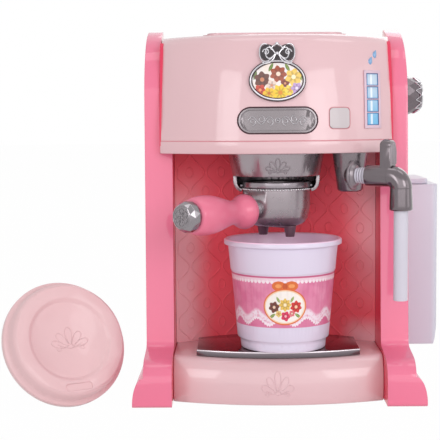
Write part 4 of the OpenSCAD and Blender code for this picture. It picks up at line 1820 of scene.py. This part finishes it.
@dataclass
class NamePlate:
    """The long plate in a dark outline of painted shadow, bare but for a raised vine of scrolls."""

    middle: Flat = (0, 188.8)
    width: float = 51.4
    height: float = 16.1
    edge: float = 0.3
    outline_gap: float = 1.0
    outline: float = 0.55
    vine_from: float = 2.4
    vine_reach: float = 19.5
    vine_swing: float = 2.5
    vine_period: float = 11.4
    scrolls: tuple[tuple[float, float, float], ...] = ((5.2, -1, 1.15), (10.9, 1, 1.15), (16.6, -1, 1.035))
    scroll: float = 2.5
    scroll_rise: float = 0.9
    eye: float = 1.5
    bead: float = 0.9
    lift: float = 0.35
    wire: float = 0.42

    def vine(self) -> list[list[Flat]]:
        """The vine: a waving stem to each side, with a scroll in every bend, and a ring in the middle.

        Returns:
            Its lines.
        """
        x0, z0 = self.middle
        lines = []
        for side in (-1, 1):
            stem = []
            for x in spread(self.vine_from, self.vine_reach, 49):
                wave = math.sin((x - self.vine_from) * TURN / self.vine_period)
                stem.append((x0 + side * x, z0 + self.vine_swing * wave))
            lines.append(stem)
            for x, up, turns in self.scrolls:
                middle = (x0 + side * x, z0 + up * self.scroll_rise)
                lines.append(spiral(middle, self.scroll, 0.25 * up, side * up * turns))
        ring = oval(self.middle, self.eye, self.eye, count=16)
        return [*lines, [*ring, ring[0]]]

    def build(self, shop: Workshop) -> None:
        """Builds the sub-assembly.

        Args:
            shop: makes, finishes and hangs its pieces.
        """
        shop.mould("name_plate", Slot.SILVER, PLATE, self.edge)
        # Painted shadow: a dark strand in the gap round the plate.
        edge = stadium(self.middle, self.width + self.outline_gap, self.height + self.outline_gap)
        outline = strands(on(HOUSING, [edge], -0.1), self.outline, closed=True)
        shop.piece("plate_outline", outline, "machine", Slot.SILVER, SHADOW_LINE)
        relief = strands(on(HOUSING, self.vine(), self.lift), self.wire)
        middle = beads([HOUSING(*self.middle, self.lift)], self.bead, fine=3)
        shop.piece("plate_vine", joined([relief, middle]), "machine", Slot.SILVER, SCROLL)


@dataclass
class Controls:
    """The square button and the level indicator with its two drops."""

    button: Flat = (41.1, 190.0)
    button_half: float = 7.15
    button_edge: float = 0.5
    squareness: float = 6
    line: float = 0.3
    line_depth: float = 0.08
    line_share: float = 0.992
    frame_edge: float = 0.2
    bar_edge: float = 0.25
    drops: tuple[Flat, ...] = ((62.9, 227.3), (66.2, 231.8))
    drop_size: float = 1.8
    drop_sunk: float = 0.5
    drop_tilt: float = 22.0
    drop_depth: float = 0.8
    drop_outline: tuple[Flat, ...] = (
        (0.0, 2.3), (0.28, 1.75), (0.66, 1.0), (0.92, 0.35),
        (1.0, -0.2), (0.86, -0.7), (0.5, -1.02), (0.0, -1.12),
    )

    def eased(self, point: Flat) -> Flat:
        """A point of the square outline with the corners pulled round.

        Args:
            point: the point, from the square's middle.

        Returns:
            The point pulled in.
        """
        x, z = point
        power = self.squareness
        reach = (abs(x / self.button_half) ** power + abs(z / self.button_half) ** power) ** (1 / power)
        return x / reach, z / reach

    def button_outline(self) -> list[Flat]:
        """The button's rounded square, six points to each half side.

        Returns:
            Its points.
        """
        half, share = self.button_half, self.line_share
        ways = ((1, 0), (1, 1), (0, 1), (-1, 1), (-1, 0), (-1, -1), (0, -1), (1, -1))
        square = dense([(half * x, half * z) for x, z in ways], lambda length: 6)
        return [(self.button[0] + x * share, self.button[1] + z * share) for x, z in map(self.eased, square)]

    def drop(self, place: Flat) -> Shape:
        """One drop, half sunk in the housing, with its tip up and to the right.

        Args:
            place: its place on the housing.

        Returns:
            The drop.
        """
        profile = [(radius * self.drop_size, height * self.drop_size) for radius, height in self.drop_outline]
        tilt = Matrix.Rotation(math.radians(self.drop_tilt), 4, "Y")
        at = Matrix.Translation(HOUSING(*place, -self.drop_sunk))
        return lathe(profile, at @ tilt @ Matrix.Diagonal((1, self.drop_depth, 1, 1)), steps=24)

    def build(self, shop: Workshop) -> None:
        """Builds the sub-assembly.

        Args:
            shop: makes, finishes and hangs its pieces.
        """
        shop.mould("push_button", Slot.BUTTON, BUTTON, self.button_edge)
        shop.mould("indicator_frame", Slot.LEVEL_FRAME, LEVEL_FRAME, self.frame_edge)
        shop.mould("indicator_bars", Slot.LEVEL_BARS, LEVEL_BARS, self.bar_edge)
        line = strands(on(HOUSING, [self.button_outline()], -self.line_depth), self.line, closed=True)
        shop.piece("button_line", line, "machine", Slot.SHELL, ROSE_LINE)
        drops = joined([self.drop(place) for place in self.drops])
        shop.piece("level_drops", drops, "machine", Slot.LEVEL_BARS, DROP)


@dataclass
class BrewHead:
    """The cone with its raised leaf fan, the collar, and the bowl with its bead rope and nozzles."""

    axis_y: float = -33.5
    cast_edge: float = 0.4
    thin_edge: float = 0.3
    fan_at: Flat = (0.0, 154.4)
    fan_size: Flat = (10.5, 9.6)
    fan_wire: float = 0.36
    rope_z: float = 142.3
    rope_radius: float = 23.05
    bead: float = 0.8
    bead_count: int = 76

    def build(self, shop: Workshop) -> None:
        """Builds the sub-assembly.

        Args:
            shop: makes, finishes and hangs its pieces.
        """
        shop.mould("group_head", Slot.SILVER, SILVER, self.cast_edge)
        shop.mould("filter_collar", Slot.SILVER, SILVER, self.thin_edge)
        shop.mould("basket_ring", Slot.BRIGHT, HAMMERED, self.thin_edge)
        shop.mould("filter_bowl", Slot.SILVER, BOWL)
        shop.mould("twin_spout", Slot.SILVER, DEEP_SILVER, self.cast_edge)
        fan = strands(on(CONE, palmette_paths(self.fan_at, *self.fan_size), 0.05), self.fan_wire)
        shop.piece("cone_relief", fan, "machine", Slot.SILVER, RELIEF)
        ring = oval((0, self.axis_y), self.rope_radius, self.rope_radius, self.bead_count)
        rope = beads([(x, y, self.rope_z) for x, y in ring], self.bead)
        shop.piece("bowl_rope", rope, "filter_handle", Slot.BRIGHT, BRIGHT)


@dataclass
class Handle:
    """The pink grip, its ferrule and its faceted end cap."""

    ferrule_edge: float = 0.3
    facets: int = 12
    cap_rings: tuple[Ring, ...] = (
        (82.05, 9.3, 0.0), (84.25, 10.2, 0.5), (88.25, 10.0, 0.0), (91.25, 8.2, 0.5), (91.65, 7.6, 0.5),
    )
    cap_front: float = 91.85
    stem: float = 4.0
    stem_start: float = 77.0
    petals: int = 6
    rosette_radius: float = 3.3
    petal: float = 2.3
    rim: float = 7.0
    wire: float = 0.35

    def cap(self) -> Shape:
        """The faceted end cap on its stem.

        Returns:
            The cap.
        """
        crystal = gem(self.cap_rings, self.facets, HANDLE_AXIS)
        low, high = self.stem_start, self.cap_rings[0][0] + 0.4
        stem = lathe([(0, low), (self.stem, low), (self.stem, high), (0, high)], HANDLE_AXIS, steps=32)
        return joined([crystal, stem])

    def build(self, shop: Workshop) -> None:
        """Builds the sub-assembly.

        Args:
            shop: makes, finishes and hangs its pieces.
        """
        shop.mould("handle_ferrule", Slot.BRIGHT, BRIGHT, self.ferrule_edge)
        shop.mould("handle_grip", Slot.GRIP, GRIP)
        shop.piece("handle_cap_cut", self.cap(), "filter_handle", Slot.BRIGHT, CAP, ("handle_cap",), smooth=8)
        lines = []
        for centre in oval((0, 0), self.rosette_radius, self.rosette_radius, self.petals):
            petal = oval(centre, self.petal, self.petal, count=16)
            lines.append([put(HANDLE_AXIS, x, y, self.cap_front - 0.1) for x, y in petal])
        rim = oval((0, 0), self.rim, self.rim, count=40)
        lines.append([put(HANDLE_AXIS, x, y, self.cap_front - 0.2) for x, y in rim])
        rosette = strands(lines, self.wire, closed=True)
        shop.piece("handle_rosette", rosette, "filter_handle", Slot.BRIGHT, CAP)


@dataclass
class Wand:
    """The steam wand with its boss, ribbed sleeve, elbow and ridged thumb tab."""

    boss_at: Point = (49.4, -45, 0)
    boss: tuple[Flat, ...] = ((0, 140.6), (6.6, 140.6), (7.6, 140.9), (8.5, 142), (11.95, 166.7), (0, 166.7))
    stub: tuple[Flat, ...] = ((0, 0.8), (3, 1.4), (5, 2.8), (6.4, 4.6), (7, 6.2), (0, 6.2))
    sleeve_start: float = 2.4
    collar_edge: float = 0.3
    elbow_edge: float = 0.35
    tube_edge: float = 0.4
    tab: float = 31.6
    tab_side: float = 3.72
    ridges: tuple[float, ...] = (-3.6, -1.2, 1.2, 3.6)
    ridge: float = 0.95
    ridge_rise: tuple[Flat, ...] = ((8, 1.0), (12, 1.0), (16, 1.0), (19, 0.95), (21.4, 0.8), (23, 0.55))
    ridge_set_in: tuple[float, ...] = (0, 0, 0, 0.25, 0.9, 2.0)

    def sleeve(self) -> Shape:
        """The ribbed sleeve, cut short so that it starts inside the boss.

        Returns:
            The sleeve.
        """
        shape = merged("wand_sleeve")
        inward = ARM_AXIS.inverted()
        for vert in shape.verts:
            place = inward @ vert.co
            place.z = max(place.z, self.sleeve_start)
            vert.co = ARM_AXIS @ place
        return shape

    def tab_ridges(self) -> Shape:
        """The ridges that run up the tab's outer face and close in over its top.

        Returns:
            The ridges.
        """
        paths = []
        for across in self.ridges:
            path = []
            for (up, share), inward in zip(self.ridge_rise, self.ridge_set_in):
                path.append(put(ARM_AXIS, -up, across * share, self.tab + self.tab_side - inward))
            paths.append(path)
        return strands(paths, self.ridge, sides=3)

    def build(self, shop: Workshop) -> None:
        """Builds the sub-assembly.

        Args:
            shop: makes, finishes and hangs its pieces.
        """
        cone = lathe(self.boss, Matrix.Translation(self.boss_at), steps=64)
        turned = joined([cone, lathe(self.stub, ARM_AXIS)])
        shop.piece("wand_boss_turned", turned, "machine", Slot.SILVER, SHADED_BOSS, ("wand_boss",), smooth=50)
        shop.mould("wand_collar", Slot.SILVER, RELIEF, self.collar_edge)
        sleeve = self.sleeve()
        shop.piece("wand_sleeve_moulded", sleeve, "machine", Slot.TUBE, TUBE, ("wand_sleeve",), smooth=30)
        shop.mould("wand_elbow", Slot.SILVER, SHADED_ELBOW, self.elbow_edge)
        shop.piece("tab_ridges", self.tab_ridges(), "wand", Slot.SILVER, RELIEF)
        shop.mould("wand_tube", Slot.TUBE, TUBE, self.tube_edge)


@dataclass
class SteamKnob:
    """The faceted knob with its polished zigzag ring."""

    facets: int = 12
    rings: tuple[Ring, ...] = (
        (0.4, 13.3, 0.0), (0.9, 13.7, 0.0), (2.4, 13.5, 0.0),
        (6.6, 12.2, 0.5), (9.4, 10.7, 0.0), (11.8, 8.9, 0.5),
    )
    zigzag: float = 0.75
    crown: tuple[Flat, Flat] = ((11.2, 10.0), (7.0, 12.3))

    def build(self, shop: Workshop) -> None:
        """Builds the sub-assembly.

        Args:
            shop: makes, finishes and hangs its pieces.
        """
        body = gem(self.rings, self.facets, KNOB_AXIS)
        shop.piece("steam_knob_cut", body, "knob", Slot.SILVER, KNOB, ("steam_knob",), smooth=8)
        line = []
        for at, (x, y) in enumerate(oval((0, 0), 1, 1, self.facets * 2)):
            along, radius = self.crown[at % 2]
            line.append(put(KNOB_AXIS, radius * x, radius * y, along))
        shop.piece("knob_zigzag", strands([line], self.zigzag, closed=True), "knob", Slot.BRIGHT, CHROME)
        shop.dress("knob_cap", BRIGHT)
        shop.dress("knob_shaft", STEEL)


@dataclass
class Tank:
    """The milky water tank, its lid and its bracket."""

    wall_edge: float = 0.6
    lid_edge: float = 0.5
    bracket_edge: float = 0.3

    def build(self, shop: Workshop) -> None:
        """Builds the sub-assembly.

        Args:
            shop: makes, finishes and hangs its pieces.
        """
        shop.mould("water_tank", Slot.TANK, TANK, self.wall_edge)
        shop.mould("tank_lid", Slot.TANK, TANK, self.lid_edge)
        shop.mould("tank_bracket", Slot.SHELL, SHELL, self.bracket_edge)


@dataclass
class Tableware:
    """The drip tray, the printed cup and the loose lid, and the raised leaf fans on the lid and the base."""

    tray_edge: float = 0.35
    lid_edge: float = 0.5
    lid_floor: float = 12.6
    lid_fan_at: Flat = (0, -6)
    lid_fan_size: Flat = (17, 15)
    lid_wire: float = 0.24
    base_fan_at: Flat = (-0.9, 7.5)
    base_fan_size: Flat = (14, 16)
    base_wire: float = 0.3
    base_sunk: float = 0.05

    def lid_place(self, x: float, z: float, lift: float) -> Point:
        """A point on the floor of the lid's recess."""
        return put(LID_AXIS, -z, x, self.lid_floor + lift)

    def build(self, shop: Workshop) -> None:
        """Builds the sub-assembly.

        Args:
            shop: makes, finishes and hangs its pieces.
        """
        shop.mould("drip_tray", Slot.SILVER, TRAY, self.tray_edge)
        shop.mould("cup", Slot.LAVENDER, LAVENDER, self.tray_edge)
        shop.mould("cup_lid", Slot.SHELL, LID_SKIN, self.lid_edge)
        fan = on(self.lid_place, palmette_paths(self.lid_fan_at, *self.lid_fan_size), 0.0)
        shop.piece("lid_relief", strands(fan, self.lid_wire), "loose_lid", Slot.SHELL, LID_SKIN)
        fan = on(BASE, palmette_paths(self.base_fan_at, *self.base_fan_size), -self.base_sunk)
        shop.piece("base_relief", strands(fan, self.base_wire), "machine", Slot.SHELL, SHELL)


@dataclass
class Inside:
    """What is hidden: fasteners, springs, electrics and pads."""

    finishes: tuple[tuple[str, Finish], ...] = (
        ("foot_pads", RUBBER), ("base_pan", SHELL), ("battery_box", BOX), ("battery_door", SHELL),
        ("door_screw", STEEL), ("batteries", CELL), ("battery_contacts", BRASS), ("circuit_board", BOARD),
        ("speaker", DARK), ("lamps", LAMP), ("button_spring", STEEL), ("panel_screws", STEEL),
        ("power_switch", DARK),
    )

    def build(self, shop: Workshop) -> None:
        """Dresses each hidden node."""
        for node, finish in self.finishes:
            shop.dress(node, finish)


def main() -> None:
    """Builds the studio and every sub-assembly, and reports each piece."""
    logging.basicConfig(level=logging.INFO, format="%(name)s: %(message)s")
    Studio().build()
    shop = Workshop()
    front = (Cabinet, Badge, NamePlate, Controls)
    for assembly in (*front, BrewHead, Handle, Wand, SteamKnob, Tank, Tableware, Inside):
        assembly().build(shop)
        LOG.info("finished the %s", assembly.__name__)


if __name__ == "__main__":
    main()
